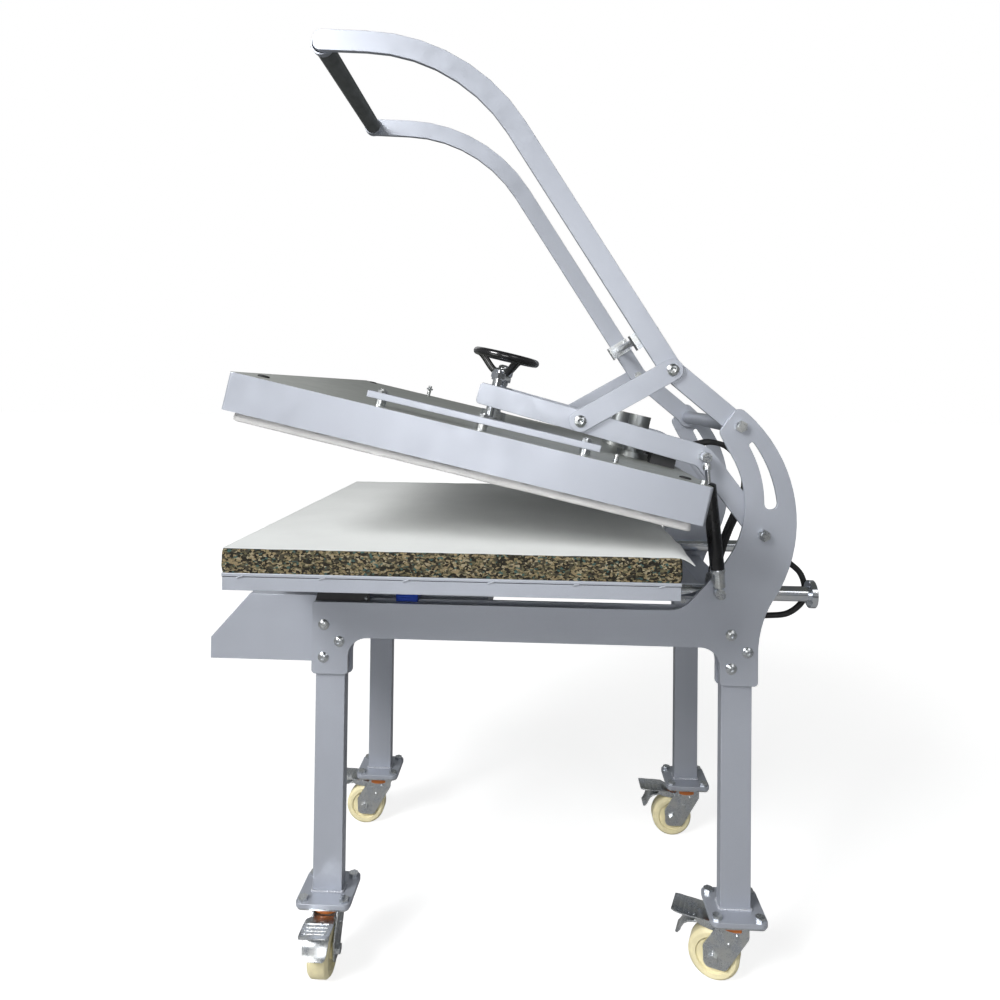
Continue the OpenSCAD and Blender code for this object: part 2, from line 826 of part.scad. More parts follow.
module heater_plate() {
    top = -cover_h - heater_drop + heater_t;
    color("#8f8c86") on_head() {
        block(platen_w, platen_d, heater_t, top - heater_t);
        for (sx = [-1, 0, 1], sy = [-1, 1])
            translate([sx * (platen_w / 2 - plate_mount_side), sy * (platen_d / 2 - plate_mount_end), top])
                cylinder(h = -cover_wall - top, d = plate_mount_d);
    }
}

stiff_side = 45;
stiff_x = cover_w / 2 - stiff_side;
stiff_mid = 20;
stiff_len = 420;
stiff_w = 20;
stiff_t = 12;
stiff_lift = 11;
stud_d = 10;
stud_foot_d = 20;
stud_nut_d = 17;
stud_nut_h = 4.9;
stud_out = 7;
edge_bolt_d = 14;
stud_y_shares = [-0.44, 0, 0.44];
edge_bolt_side = 28;
edge_bolt_end = 13;
edge_bolt_x = cover_w / 2 - edge_bolt_side;
edge_bolt_y = cover_d / 2 - edge_bolt_end;
lone_stud_side = 45;
lone_stud_end = 206;
lone_stud_h = 30;
lone_stud_x = cover_w / 2 - lone_stud_side;
lone_stud_y = cover_d / 2 - lone_stud_end;
small_stud_in = 10;
small_stud_past = 32;
small_stud_x = stiff_x - small_stud_in;
small_stud_y = stiff_mid + stiff_len / 2 + small_stud_past;

module stiffener_bars() {
    color(paint) on_head() difference() {
        translate([stiff_x, stiff_mid, 0]) block(stiff_w, stiff_len, stiff_t, stiff_lift);
        for (s = stud_y_shares) translate([stiff_x, stiff_mid + s * stiff_len, stiff_lift - cut])
            cylinder(h = stiff_t + 2 * cut, d = stud_d + 2 * fit);
    }
}

module head_studs() {
    color(zinc) on_head() {
        for (s = stud_y_shares) translate([stiff_x, stiff_mid + s * stiff_len, 0]) {
            cylinder(h = stiff_lift + stiff_t + stud_out, d = stud_d);
            cylinder(h = stiff_lift, d = stud_foot_d);
            translate([0, 0, stiff_lift + stiff_t])
                cylinder(h = stud_nut_h, d = stud_nut_d / cos(30), $fn = 6);
        }
        translate([-lone_stud_x, -lone_stud_y, 0]) {
            cylinder(h = lone_stud_h, d = stud_d);
            translate([0, 0, lone_stud_h - stud_out - stud_nut_h])
                cylinder(h = stud_nut_h, d = stud_nut_d / cos(30), $fn = 6);
        }
        both_sides() {
            translate([edge_bolt_x, edge_bolt_y, 0]) cylinder(h = stud_out, d = edge_bolt_d);
            translate([small_stud_x, small_stud_y, 0]) cylinder(h = 2 * stud_out, d = stud_d);
        }
        translate([0, screw_y, 0]) difference() {
            cylinder(h = thrust_h, d = 2 * screw_d);
            translate([0, 0, thrust_floor]) cylinder(h = thrust_h, d = screw_d + 2 * pin_clear);
        }
    }
}

thrust_h = 20;
thrust_floor = 5;
post_nut_h = 12;
post_nut_d = 30.4;
post_nut_drop = 6;
rear_foot_d = 67.5;
post_top = 115;
post_foot_d = 44;
post_foot_h = 12;

module guide_posts() {
    color(chrome) on_head() both_sides() {
        translate([post_x, screw_y, 0]) {
            cylinder(h = post_top, d = post_d);
            cylinder(h = post_foot_h, d = post_foot_d);
            translate([0, 0, post_top - post_nut_h - post_nut_drop])
                cylinder(h = post_nut_h, d = post_nut_d / cos(30), $fn = 6);
        }
        translate([rear_post_x, rear_post_y, 0]) {
            cylinder(h = rear_post_top, d = rear_post_d);
            cylinder(h = post_foot_h, d = rear_foot_d);
        }
    }
}

term_w = 36;
term_d = 50;
term_h = 28;
term_x = 235;
term_end = 45;
term_y = cover_d / 2 - term_end;
junction_w = 90;
junction_d = 52;
junction_h = 42;
junction_x = 55;
junction_end = 33;
junction_y = cover_d / 2 - junction_end;

module terminal_box() {
    color(black) on_head() {
        translate([term_x, term_y, 0]) block(term_w, term_d, term_h, 0);
        translate([junction_x, junction_y, 0]) block(junction_w, junction_d, junction_h, 0);
    }
}

// Pressure screw and handwheel

wheel_lift = 151;
hub_d = 40;
hub_low = 92;
hub_h = 30;
spoke_d = 13;
collar_d = 36;
collar_low = 84;
cap_nut_d = 26;
cap_nut_h = 10;
cap_nut_top_d = 18;
spoke_in = 14;
spoke_seat = 12;

module pressure_screw() {
    color(chrome) on_head() translate([0, screw_y, 0]) {
        translate([0, 0, thrust_floor + seat]) cylinder(h = hub_low - thrust_floor - seat, d = screw_d);
        translate([0, 0, collar_low]) cylinder(h = hub_low - collar_low, d = collar_d);
    }
}

module handwheel() {
    rim_mid = (handwheel_d - rim_d) / 2;
    hub_top = hub_low + hub_h;
    color(black) on_head() translate([0, screw_y, 0]) {
        translate([0, 0, wheel_lift]) rotate_extrude() translate([rim_mid, 0]) circle(d = rim_d);
        for (i = [0:2]) rotate([0, 0, 120 * i + 30]) {
            run = rim_mid - spoke_in;
            rise = wheel_lift - hub_top + spoke_seat;
            translate([spoke_in, 0, wheel_lift - rise]) rotate([0, atan2(run, rise), 0])
                cylinder(h = norm([run, rise]), d = spoke_d);
        }
    }
    color(chrome) on_head() translate([0, screw_y, 0]) {
        translate([0, 0, hub_low]) cylinder(h = hub_h, d = hub_d);
        translate([0, 0, hub_top]) cylinder(h = cap_nut_h, d1 = cap_nut_d, d2 = cap_nut_top_d);
    }
}

// Handle

grip_place = [-451, 1888];
handle_bend_r = 396;
handle_front = [-466, 1892];
handle_knee = [-150, 1876];
elbow_bend = 30;
bar_end = 16;

handle_path = [
    [handle_front[0], handle_front[1], 0],
    [handle_knee[0], handle_knee[1], handle_bend_r],
    [elbow[0], elbow[1], elbow_bend],
    [handle_pivot[0], handle_pivot[1], 0]
];
brace_y = 225;
brace_z = 1281;
brace_d = 16;
brace_lug = 34;
lug_wall = 4;
brace_bolt_d = 8;
brace_bolt_len = 14;
brace_head_w = 13;
brace_head_h = 5.5;
brace_turn = 32.75;
brace_over = 27;

module handle_bar() {
    color(paint) at_frame() slab(bar_x, bar_t) difference() {
        union() {
            polygon(strip(handle_path, bar_w, bar_end));
            hole(handle_pivot, boss_d);
        }
        hole(handle_pivot, hinge_d + 2 * pin_clear);
        hole(elbow, pin_d + 2 * fit);
    }
    color(zinc) at_frame() {
        pin(elbow, pin_d / 2, bar_x - nut_h, nut_h + bar_t + 2 * side_gap + link_t);
        hex_x(elbow, nut_across, bar_x - nut_h, nut_h);
        button_bolt(elbow, pin_d, link_head_d, link_x + link_t + side_gap, cut);
    }
}
module handle_bar_near() { handle_bar(); }
module handle_bar_far() { mirrored() handle_bar(); }

module handle_grip() {
    color(black) at_frame() pin(grip_place, grip_d / 2, -bar_x, 2 * bar_x);
}

torsion_d = 32;

module torsion_tube() {
    color(paint) at_frame() difference() {
        pin(handle_pivot, torsion_d / 2, -bar_x, 2 * bar_x);
        pin(handle_pivot, hinge_d / 2 + pin_clear, -bar_x - cut, 2 * (bar_x + cut));
    }
}

// Cross rod between the bars, in a bent bracket on each
module handle_brace() {
    color(zinc) at_frame() {
        pin([brace_y, brace_z], brace_d / 2, -bar_x, 2 * bar_x);
        both_sides() translate([bar_x - brace_lug, brace_y, brace_z]) rotate([brace_turn, 0, 0]) {
            difference() {
                translate([0, -brace_over, -brace_lug / 2]) cube([brace_lug, 2 * brace_over, brace_lug]);
                translate([-cut, lug_wall - brace_over, -brace_lug])
                    cube([brace_lug - lug_wall + cut, 2 * (brace_over - lug_wall), 2 * brace_lug]);
            }
            translate([brace_lug / 2, brace_over - brace_bolt_len, 0]) rotate([-90, 0, 0]) {
                cylinder(h = brace_bolt_len + cut, d = brace_bolt_d);
                translate([0, 0, brace_bolt_len])
                    cylinder(h = brace_head_h, d = brace_head_w / cos(30), $fn = 6);
            }
        }
    }
}

// Links

module link() {
    dir = heading(elbow, link_foot);
    color(paint) at_frame() slab(link_x, link_t) difference() {
        union() {
            hole(elbow, bar_w);
            hole(link_foot, bar_w);
            translate(elbow) rotate(dir) translate([0, -bar_w / 2])
                square([norm(link_foot - elbow), bar_w]);
        }
        hole(elbow, pin_d + 2 * pin_clear);
        hole(link_foot, pin_d + 2 * link_clear);
    }
}
module link_near() { link(); }
module link_far() { mirrored() link(); }

// Gas springs

cyl_d = 28;
cyl_from = 41;
cyl_to = 213;
collar_w = 24;
collar_from = 13;
spring_rod_d = 10;
neck_d = 9;
eye_d = 20;
eye_slack = 0.6;
rod_depth = 90;
bore_extra = 30;
neck_from = 8;
spring_len = norm(spring_top - spring_foot);

module eye(z, bore) {
    difference() {
        translate([-spring_eye / 2, 0, z]) rotate([0, 90, 0]) cylinder(h = spring_eye, d = eye_d);
        translate([-spring_eye, 0, z]) rotate([0, 90, 0]) cylinder(h = 2 * spring_eye, d = bore);
    }
}

module gas_cylinders() {
    color(black) at_frame() both_sides() translate([spring_x, spring_foot[0], spring_foot[1]])
        rotate([heading(spring_foot, spring_top) - 90, 0, 0]) {
            difference() {
                union() {
                    translate([0, 0, cyl_from]) cylinder(h = cyl_to - cyl_from, d = cyl_d);
                    translate([0, 0, collar_from]) cylinder(h = cyl_from - collar_from, d = collar_w);
                    translate([0, 0, neck_from]) cylinder(h = collar_from, d = neck_d);
                }
                translate([0, 0, cyl_to - rod_depth - bore_extra])
                    cylinder(h = rod_depth + bore_extra + cut, d = spring_rod_d + 2 * pin_clear);
                pin([0, 0], spring_pin_d / 2 + pin_clear, -spring_eye, 2 * spring_eye);
            }
            eye(0, spring_pin_d + 2 * pin_clear);
        }
}

module gas_rods() {
    color(chrome) at_frame() both_sides() translate([spring_x, spring_foot[0], spring_foot[1]])
        rotate([heading(spring_foot, spring_top) - 90, 0, 0]) {
            translate([0, 0, cyl_to - rod_depth])
                cylinder(h = spring_len - neck_from - cyl_to + rod_depth, d = spring_rod_d);
            eye(spring_len, spring_stud_d + 2 * eye_slack);
        }
}

// Casters

axle_z = wheel_d / 2;
plate_trim = 3;
race_d = 62;
race_h = 9;
crown_d = 66;
crown_t = 10;
crown_z = caster_h - caster_plate_t - race_h - crown_t;
cheek_t = 4;
cheek_gap = 2;
cheek_lead = 25;
cheek_low = 20;
cheek_tail = 18;
cheek_back = 20;
cheek_neck = 14;
cheek_round = 10;
cheek_tail_round = 12;
cheek_neck_round = 4;
cheek_x = wheel_w / 2 + cheek_gap;
axle_d = 12;
pedal_pin = [-20, 107];
pedal_pin_d = 8;
pedal_t = 3;
swivels = [90, 0, -20, 0];
caster_sides = [1, -1, 1, -1];
caster_ys = [front_y, front_y, rear_y, rear_y];

module on_caster(i) {
    at_frame() translate([caster_sides[i] * leg_x, caster_ys[i], 0])
        rotate([0, 0, swivels[i]]) children();
}

module caster_plates() {
    for (i = [0:3]) at_frame() translate([caster_sides[i] * leg_x, caster_ys[i], 0]) {
        color(zinc) translate([0, 0, caster_h - caster_plate_t]) linear_extrude(caster_plate_t)
            difference() {
                foot_outline(foot_w - 2 * plate_trim, foot_round - plate_trim);
                for (s = foot_shares) translate(s * foot_pitch / 2) circle(d = foot_bolt_d + 2 * fit);
            }
        color(amber) translate([0, 0, caster_h - caster_plate_t - race_h + seat])
            cylinder(h = race_h - seat, d = race_d);
    }
}

// Outline of a fork's cheek about the swivel axis
module cheek_shape() {
    a = -caster_trail;
    difference() {
        polygon(rounded([
            [crown_d / 2, crown_z + crown_t, 0],
            [crown_d / 2, crown_z - crown_t, cheek_round],
            [a + cheek_lead, axle_z - cheek_low, cheek_round],
            [a - cheek_tail, axle_z - cheek_low, cheek_tail_round],
            [a - cheek_back, axle_z + cheek_low, cheek_tail_round],
            [a + cheek_neck, crown_z + crown_t, cheek_neck_round]
        ]));
        hole([a, axle_z], axle_d + 2 * fit);
        hole(pedal_pin, pedal_pin_d + 2 * fit);
    }
}

module caster_fork(i) {
    color(zinc) on_caster(i) {
        translate([0, 0, crown_z]) cylinder(h = crown_t, d = crown_d);
        for (s = [-1, 1]) slab(s > 0 ? cheek_x : -cheek_x - cheek_t, cheek_t) cheek_shape();
        axle_bolt();
        pin(pedal_pin, pedal_pin_d / 2, -cheek_x - cheek_t, 2 * (cheek_x + cheek_t));
    }
}

module axle_bolt() {
    p = [-caster_trail, axle_z];
    out = cheek_x + cheek_t;
    pin(p, axle_d / 2, -out, 2 * out);
    for (s = [-1, 1]) hex_x(p, nut_across, s > 0 ? out : -out - nut_h, nut_h);
}

hub_over = 1;
hub_share = 0.32;
dish_share = 0.36;
dish_end_share = 0.66;
rim_share = 0.7;
dish_deep = 4;
tread_edge = 6;
tread_round = 3;
wheel_edge = 1;

// Half of the wheel's section, as [radius, depth in from the face, rounding]
wheel_half = [
    [axle_d / 2 + pin_clear, -hub_over, 0],
    [wheel_d / 2 * hub_share, -hub_over, wheel_edge],
    [wheel_d / 2 * dish_share, dish_deep, wheel_edge],
    [wheel_d / 2 * dish_end_share, dish_deep, wheel_edge],
    [wheel_d / 2 * rim_share, 0, wheel_edge],
    [wheel_d / 2 - tread_edge, 0, tread_round],
    [wheel_d / 2, tread_edge, tread_edge]
];

module caster_wheel(i) {
    w = wheel_w / 2;
    color(cream) on_caster(i) translate([0, -caster_trail, axle_z]) rotate([0, 90, 0])
        rotate_extrude() polygon(rounded(concat(
            [for (p = wheel_half) [p[0], p[1] - w, p[2]]],
            [for (p = reversed(wheel_half)) [p[0], w - p[1], p[2]]]
        )));
}

pedal_w = 70;
pedal_in = 42;
neck_top = 7;
neck_low = 4;
tread_top = 5;
tread_low = 2;
tread_from = 44;
tread_lap = 2;
tread_to = 108;
tread_rise = 18;
tread_under = 104;
tread_under_z = 14;
face_back = 100;
face_under = 97;
face_drop = 26;
face_under_drop = 25;
cheek_from = 60;
cheek_mid = 84;
cheek_from_drop = 4;
cheek_mid_drop = 22;

// Bent sheet of the brake pedal, from its pin out over the wheel
module caster_pedal(i) {
    y = pedal_pin[0];
    z = pedal_pin[1];
    color(zinc) on_caster(i) difference() {
        union() {
            slab(-pedal_in / 2, pedal_in) union() {
                hole(pedal_pin, pedal_pin_d + 2 * pedal_t);
                polygon([
                    [y, z + neck_top],
                    [y - tread_from - tread_lap, z + tread_top],
                    [y - tread_from - tread_lap, z + tread_low],
                    [y, z + neck_low]
                ]);
            }
            slab(-pedal_w / 2, pedal_w) polygon([
                [y - tread_from, z + tread_top],
                [y - tread_to, z + tread_rise],
                [y - face_back, z - face_drop],
                [y - face_under, z - face_under_drop],
                [y - tread_under, z + tread_under_z],
                [y - tread_from, z + tread_low]
            ]);
            for (s = [-1, 1]) slab(s > 0 ? pedal_w / 2 - pedal_t : -pedal_w / 2, pedal_t) polygon([
                [y - tread_from, z + tread_top],
                [y - tread_to, z + tread_rise],
                [y - face_back, z - face_drop],
                [y - cheek_mid, z - cheek_mid_drop],
                [y - cheek_from, z - cheek_from_drop]
            ]);
        }
        pin(pedal_pin, pedal_pin_d / 2 + pin_clear, -pedal_w, 2 * pedal_w);
    }
}

module caster_fork_1() { caster_fork(0); }
module caster_fork_2() { caster_fork(1); }
module caster_fork_3() { caster_fork(2); }
module caster_fork_4() { caster_fork(3); }
module caster_wheel_1() { caster_wheel(0); }
module caster_wheel_2() { caster_wheel(1); }
module caster_wheel_3() { caster_wheel(2); }
module caster_wheel_4() { caster_wheel(3); }
module caster_pedal_1() { caster_pedal(0); }
module caster_pedal_2() { caster_pedal(1); }
module caster_pedal_3() { caster_pedal(2); }
module caster_pedal_4() { caster_pedal(3); }

// Cables

cable_d = 12;
cable_sides = 10;
cable_steps = 4;
cable_xs = [40, 68];
gland_d = 26;
gland_h = 23;
gland_foot_h = 9.2;
gland_cap_d = 20.8;
gland_crown = 6;

// Routes as [x, y, z] points from the stand's middle
arm_route = [[0, 305.7, 1036], [0, 335, 1035], [0, 368, 1049], [0, 404, 1055],
             [0, 443, 1042], [0, 472, 1006], [0, 481, 964], [0, 473, 925], [0, 457, 889]];
frame_route = [[0, 455, 885], [0, 444, 860], [0, 433, 830], [0, 421, 792],
               [0, 410, 770], [0, 408, 757.5]];
loop_route = [[110, 420, 757.5], [110, 422, 772], [114, 438, 796], [124, 460, 816],
              [145, 492, 826], [175, 520, 824], [200, 538, 812], [205, 554, 795],
              [205, 562, 768], [203, 558, 738], [198, 530, 712], [190, 490, 704],
              [190, 438.5, 702]];

// Ring of points round a route's point, square to its direction
function ring(c, d, r, sides) = let (
        t = unit(d),
        u = unit(cross(t, abs(t[0]) < 0.8 ? [1, 0, 0] : [0, 1, 0])),
        v = cross(t, u)
    )
    [for (k = [0:sides - 1]) let (a = 360 * k / sides) c + r * (cos(a) * u + sin(a) * v)];

// Tube of round section along the points p
module tube(p, d, sides) {
    n = len(p);
    pts = [for (i = [0:n - 1]) each ring(p[i], p[min(i + 1, n - 1)] - p[max(i - 1, 0)], d / 2, sides)];
    walls = [for (i = [0:n - 2], k = [0:sides - 1]) let (
            a = i * sides + k, b = i * sides + (k + 1) % sides
        )
        each [[a, a + sides, b], [b, a + sides, b + sides]]];
    low = [for (k = [0:sides - 1]) k];
    high = [for (k = [sides - 1:-1:0]) (n - 1) * sides + k];
    polyhedron(points = pts, faces = concat([low], walls, [high]));
}

module cable_glands() {
    pair_end = frame_route[len(frame_route) - 1];
    color("#9a9ca0") at_frame() {
        for (x = cable_xs) translate([x, pair_end[1], cross_top]) gland();
        translate([loop_route[0][0], loop_route[0][1], cross_top]) gland();
    }
}

// A cable gland: a hexagon foot and a domed cap
module gland() {
    top = gland_h - seat;
    ball = (gland_cap_d * gland_cap_d / 4 + gland_crown * gland_crown) / (2 * gland_crown);
    cylinder(h = gland_foot_h, d = gland_d, $fn = 6);
    intersection() {
        cylinder(h = top, d = gland_cap_d);
        translate([0, 0, top - ball]) sphere(r = ball);
    }
}

module arm_cable() {
    color(black) at_frame() for (x = cable_xs) translate([x, 0, 0])
        tube(smooth(arm_route, cable_steps), cable_d, cable_sides);
}

module head_cable() {
    color(black) at_frame() for (x = cable_xs) translate([x, 0, 0])
        tube(smooth(frame_route, cable_steps), cable_d, cable_sides);
}

module loop_cable() {
    color(black) at_frame() tube(smooth(loop_route, cable_steps), cable_d, cable_sides);
}

side_plate_near();
side_plate_far();
inner_rail_near();
inner_rail_far();
leg_front_near();
leg_front_far();
leg_rear_near();
leg_rear_far();
front_cross_tube();
rear_cross_tube();
control_box();
controller();
rocker_switch();
frame_bolts();
pivot_bolts();
slide_bearings();
caster_plates();
cable_glands();
head_cable();
arm_cable();
loop_cable();
tray();
pad();
cloth_sheet();
slide_rods();
rod_saddles();
rod_end_caps();
arm_near();
arm_far();
arm_cross_beam();
rear_post_plate();
head_cover();
heater_plate();
stiffener_bars();
head_studs();
guide_posts();
terminal_box();
pressure_screw();
handwheel();
handle_bar_near();
handle_bar_far();
handle_grip();
torsion_tube();
handle_brace();
link_near();
link_far();
gas_cylinders();
gas_rods();
caster_fork_1();
caster_fork_2();
caster_fork_3();
caster_fork_4();
caster_wheel_1();
caster_wheel_2();
caster_wheel_3();
caster_wheel_4();
caster_pedal_1();
caster_pedal_2();
caster_pedal_3();
caster_pedal_4();
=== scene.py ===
"""Looks of the slide-out heat press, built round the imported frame.

The frame carries the exact solids. This script gives each of them its finish and adds what
Blender makes best: the crumb foam pad and its cloth, the cables, the weld beads, the screw
threads, the handwheel, the brake pedals, the wrap of the heated plate and the small parts of
the controls. Sizes are given in millimetres and become metres where a mesh is made. X runs
across the press, Y from the operator's side to the back, and Z up.
"""

import json
import logging
import math
from dataclasses import dataclass, field
from enum import Enum
from typing import Callable, Iterable, Sequence

import bmesh
import bpy
from mathutils import Matrix, Vector, noise

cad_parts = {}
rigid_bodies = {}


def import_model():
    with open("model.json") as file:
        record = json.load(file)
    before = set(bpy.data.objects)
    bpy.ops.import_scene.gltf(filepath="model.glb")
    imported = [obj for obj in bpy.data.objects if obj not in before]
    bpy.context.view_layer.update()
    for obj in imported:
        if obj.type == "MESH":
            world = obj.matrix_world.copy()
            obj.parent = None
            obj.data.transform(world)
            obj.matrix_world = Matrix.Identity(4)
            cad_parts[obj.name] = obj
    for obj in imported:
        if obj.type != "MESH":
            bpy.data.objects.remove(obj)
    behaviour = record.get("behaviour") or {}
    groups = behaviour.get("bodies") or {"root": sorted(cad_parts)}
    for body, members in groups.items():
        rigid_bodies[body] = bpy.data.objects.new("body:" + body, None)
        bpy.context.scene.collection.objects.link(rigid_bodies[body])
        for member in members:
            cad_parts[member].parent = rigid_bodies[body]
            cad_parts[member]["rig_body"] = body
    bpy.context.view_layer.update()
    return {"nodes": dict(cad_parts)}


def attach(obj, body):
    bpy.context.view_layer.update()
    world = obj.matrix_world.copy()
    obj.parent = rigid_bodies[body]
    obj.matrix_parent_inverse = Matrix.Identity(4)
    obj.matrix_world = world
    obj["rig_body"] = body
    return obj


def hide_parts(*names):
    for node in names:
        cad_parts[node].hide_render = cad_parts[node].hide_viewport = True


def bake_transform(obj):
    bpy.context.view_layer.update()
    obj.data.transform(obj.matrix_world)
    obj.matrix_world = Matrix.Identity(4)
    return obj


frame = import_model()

Point = Sequence[float]
Colour = tuple[float, float, float]
Spot = tuple[float, float, float]
Pair = tuple[float, float]
Rim = list[tuple[float, float, float, float]]
Socket = bpy.types.NodeSocket
Object = bpy.types.Object
Material = bpy.types.Material
Link = tuple[bpy.types.Node, str | int, bpy.types.Node, str | int]

LOG = logging.getLogger("heat_press")
MM = 0.001
FRAME_Y = 51 * MM
LEG_X, LEG_Y = 256.0, 408.0
HEAD_WIDTH, HEAD_DEPTH = 1000.0, 800.0
SPRING_FOOT, SPRING_TOP = (368.0, 774.0), (340.0, 1040.0)
CASTERS = (1, 2, 3, 4)
WHITE = (1.0, 1.0, 1.0)


class Side(Enum):
    """The two sides of the press, as the sign of X."""

    NEAR = 1
    FAR = -1

    def facing(self) -> Matrix:
        """The turn that leads Z outwards on this side."""
        return Matrix.Rotation(math.radians(90 * self.value), 4, "Y")


class Stamp(Enum):
    """Small shapes that a path repeats."""

    BEAD = "bead"
    RING = "ring"
    RIB = "rib"


# Places


def at_frame(x: float, y: float, z: float) -> Vector:
    """Place in the row frame of a point given in millimetres from the stand's middle.

    Args:
        x: Distance towards the near side.
        y: Distance towards the back, from midway between the legs.
        z: Height above the floor.

    Returns:
        The point in metres.
    """
    return Vector((x * MM, y * MM + FRAME_Y, z * MM))


def from_stand(spot: Vector) -> Vector:
    """A place in millimetres from the stand's middle, the reverse of at_frame."""
    return Vector((spot.x, spot.y - FRAME_Y, spot.z)) / MM


def stand_at(x: float, y: float, z: float) -> Matrix:
    """An upright frame at a place given in millimetres from the stand's middle."""
    return Matrix.Translation(at_frame(x, y, z))


def shift(x: float, y: float, z: float = 0.0) -> Matrix:
    """A move given in millimetres."""
    return Matrix.Translation((x * MM, y * MM, z * MM))


@dataclass(frozen=True)
class Seat:
    """A tilted place on the press, given in millimetres from the stand's middle."""

    y: float
    z: float
    tilt: float

    def matrix(self) -> Matrix:
        """The seat's own frame in the row frame."""
        return stand_at(0, self.y, self.z) @ Matrix.Rotation(math.radians(self.tilt), 4, "X")

    def at(self, x: float, y: float, z: float) -> Vector:
        """Place in the row frame of a point of the seat, given in millimetres."""
        return self.matrix() @ Vector((x * MM, y * MM, z * MM))


HEAD_SEAT = Seat(-109.768, 1101.121, -12.7)
SLOPE_SEAT = Seat(-630.5, 690.0, math.degrees(math.atan2(92, 81)))


def on_head(spot: Vector) -> Vector:
    """A place from the stand's middle, carried over to the head's own frame."""
    return HEAD_SEAT.matrix().inverted() @ at_frame(*spot) / MM


def rounded_rim(low: Point, high: Point, radius: float, steps: int) -> Rim:
    """Points and outward directions round a rectangle with rounded corners.

    Args:
        low: Its least X and Y.
        high: Its greatest X and Y.
        radius: Radius of the corners.
        steps: Points on each corner.

    Returns:
        X, Y and the direction's X and Y of each point, anticlockwise.
    """
    (x0, y0), (x1, y1) = low, high
    rim = []
    for cx, cy, start in ((x1 - radius, y1 - radius, 0), (x0 + radius, y1 - radius, 90),
                          (x0 + radius, y0 + radius, 180), (x1 - radius, y0 + radius, 270)):
        for k in range(steps):
            a = math.radians(start + 90 / (steps - 1) * k)
            ahead = math.cos(a), math.sin(a)
            rim.append((cx + radius * ahead[0], cy + radius * ahead[1], *ahead))
    return rim


def spread(rim: Rim, cell: float) -> Rim:
    """The same rim with points about a cell apart.

    Args:
        rim: The rim.
        cell: Distance between two points, in the rim's own unit.

    Returns:
        The rim with its added points.
    """
    loop = []
    for p, q in zip(rim, rim[1:] + rim[:1]):
        count = max(1, round(math.hypot(q[0] - p[0], q[1] - p[1]) / cell))
        loop += [tuple(a + (b - a) * k / count for a, b in zip(p, q)) for k in range(count)]
    return loop


def smooth_route(route: Sequence[Point], steps: int) -> list[Vector]:
    """Points of a smooth curve through a route.

    Args:
        route: The points that it passes through.
        steps: Steps to each stretch.

    Returns:
        The curve's points.
    """
    pts = [Vector(p) for p in route]
    last = len(pts) - 1
    line = []
    for i in range(last):
        p0, p1, p2, p3 = pts[max(i - 1, 0)], pts[i], pts[i + 1], pts[min(i + 2, last)]
        for k in range(steps + (1 if i == last - 1 else 0)):
            t = k / steps
            line.append((2 * p1 + (p2 - p0) * t + (2 * p0 - 5 * p1 + 4 * p2 - p3) * t * t
                         + (3 * p1 - p0 - 3 * p2 + p3) * t ** 3) / 2)
    return line


def route_length(line: Sequence[Vector]) -> float:
    """Length of a run of points, in metres."""
    return sum((b - a).length for a, b in zip(line, line[1:]))


# Mesh making


def added(name: str, mesh: bpy.types.Mesh) -> Object:
    """A new object at the origin that shows a mesh.

    Args:
        name: Name of the object.
        mesh: Its mesh, or its camera or lamp.

    Returns:
        The object, linked to the scene.
    """
    obj = bpy.data.objects.new(name, mesh)
    bpy.context.scene.collection.objects.link(obj)
    return obj


def mesh_piece(name: str, verts: Iterable[Point], faces: Iterable[Sequence[int]] = (),
               edges: Iterable[Sequence[int]] = ()) -> Object:
    """A new mesh object at the origin.

    Args:
        name: Name of the piece.
        verts: Corners in the row frame, in metres.
        faces: Faces as runs of corner numbers.
        edges: Loose edges, for a path.

    Returns:
        The object, linked to the scene.
    """
    mesh = bpy.data.meshes.new(name)
    mesh.from_pydata([tuple(v) for v in verts], list(edges), list(faces))
    mesh.update()
    return added(name, mesh)


def drafted(name: str, draft: bmesh.types.BMesh) -> Object:
    """A new object that takes over a draft's mesh, and frees the draft.

    Args:
        name: Name of the object.
        draft: The draft.

    Returns:
        The object, linked to the scene.
    """
    mesh = bpy.data.meshes.new(name)
    draft.to_mesh(mesh)
    draft.free()
    return added(name, mesh)


def ring_faces(rings: int, count: int) -> list[tuple[int, ...]]:
    """Faces between closed rings of corners that follow one another."""
    return [(i * count + k, i * count + (k + 1) % count, (i + 1) * count + (k + 1) % count,
             (i + 1) * count + k) for i in range(rings - 1) for k in range(count)]


def capped_faces(rings: int, count: int) -> list[tuple[int, ...]]:
    """Faces between rings of corners, with a cap on the first and the last.

    Args:
        rings: Number of rings.
        count: Corners on each ring.

    Returns:
        The faces as runs of corner numbers.
    """
    last = (rings - 1) * count
    return [*ring_faces(rings, count), tuple(range(count - 1, -1, -1)),
            tuple(range(last, last + count))]


def shade(obj: Object, angle: float = 35.0) -> Object:
    """Smooth shading that keeps edges sharper than the angle, in degrees.

    Args:
        obj: The object.
        angle: The least angle of a sharp edge.

    Returns:
        The object.
    """
    mesh = obj.data
    mesh.polygons.foreach_set("use_smooth", [True] * len(mesh.polygons))
    mesh.set_sharp_from_angle(angle=math.radians(angle))
    return obj


def dress(obj: Object, finish: Material) -> Object:
    """Gives the whole object one finish.

    Args:
        obj: The object.
        finish: Its material.

    Returns:
        The object.
    """
    obj.data.materials.clear()
    obj.data.materials.append(finish)
    return obj


def settle(obj: Object) -> Object:
    """Turns the modifiers' result into the object's own plain mesh.

    Args:
        obj: The object with its modifiers.

    Returns:
        The object without them.
    """
    graph = bpy.context.evaluated_depsgraph_get()
    made = bpy.data.meshes.new_from_object(obj.evaluated_get(graph), depsgraph=graph)
    obj.modifiers.clear()
    obj.data = made
    return obj


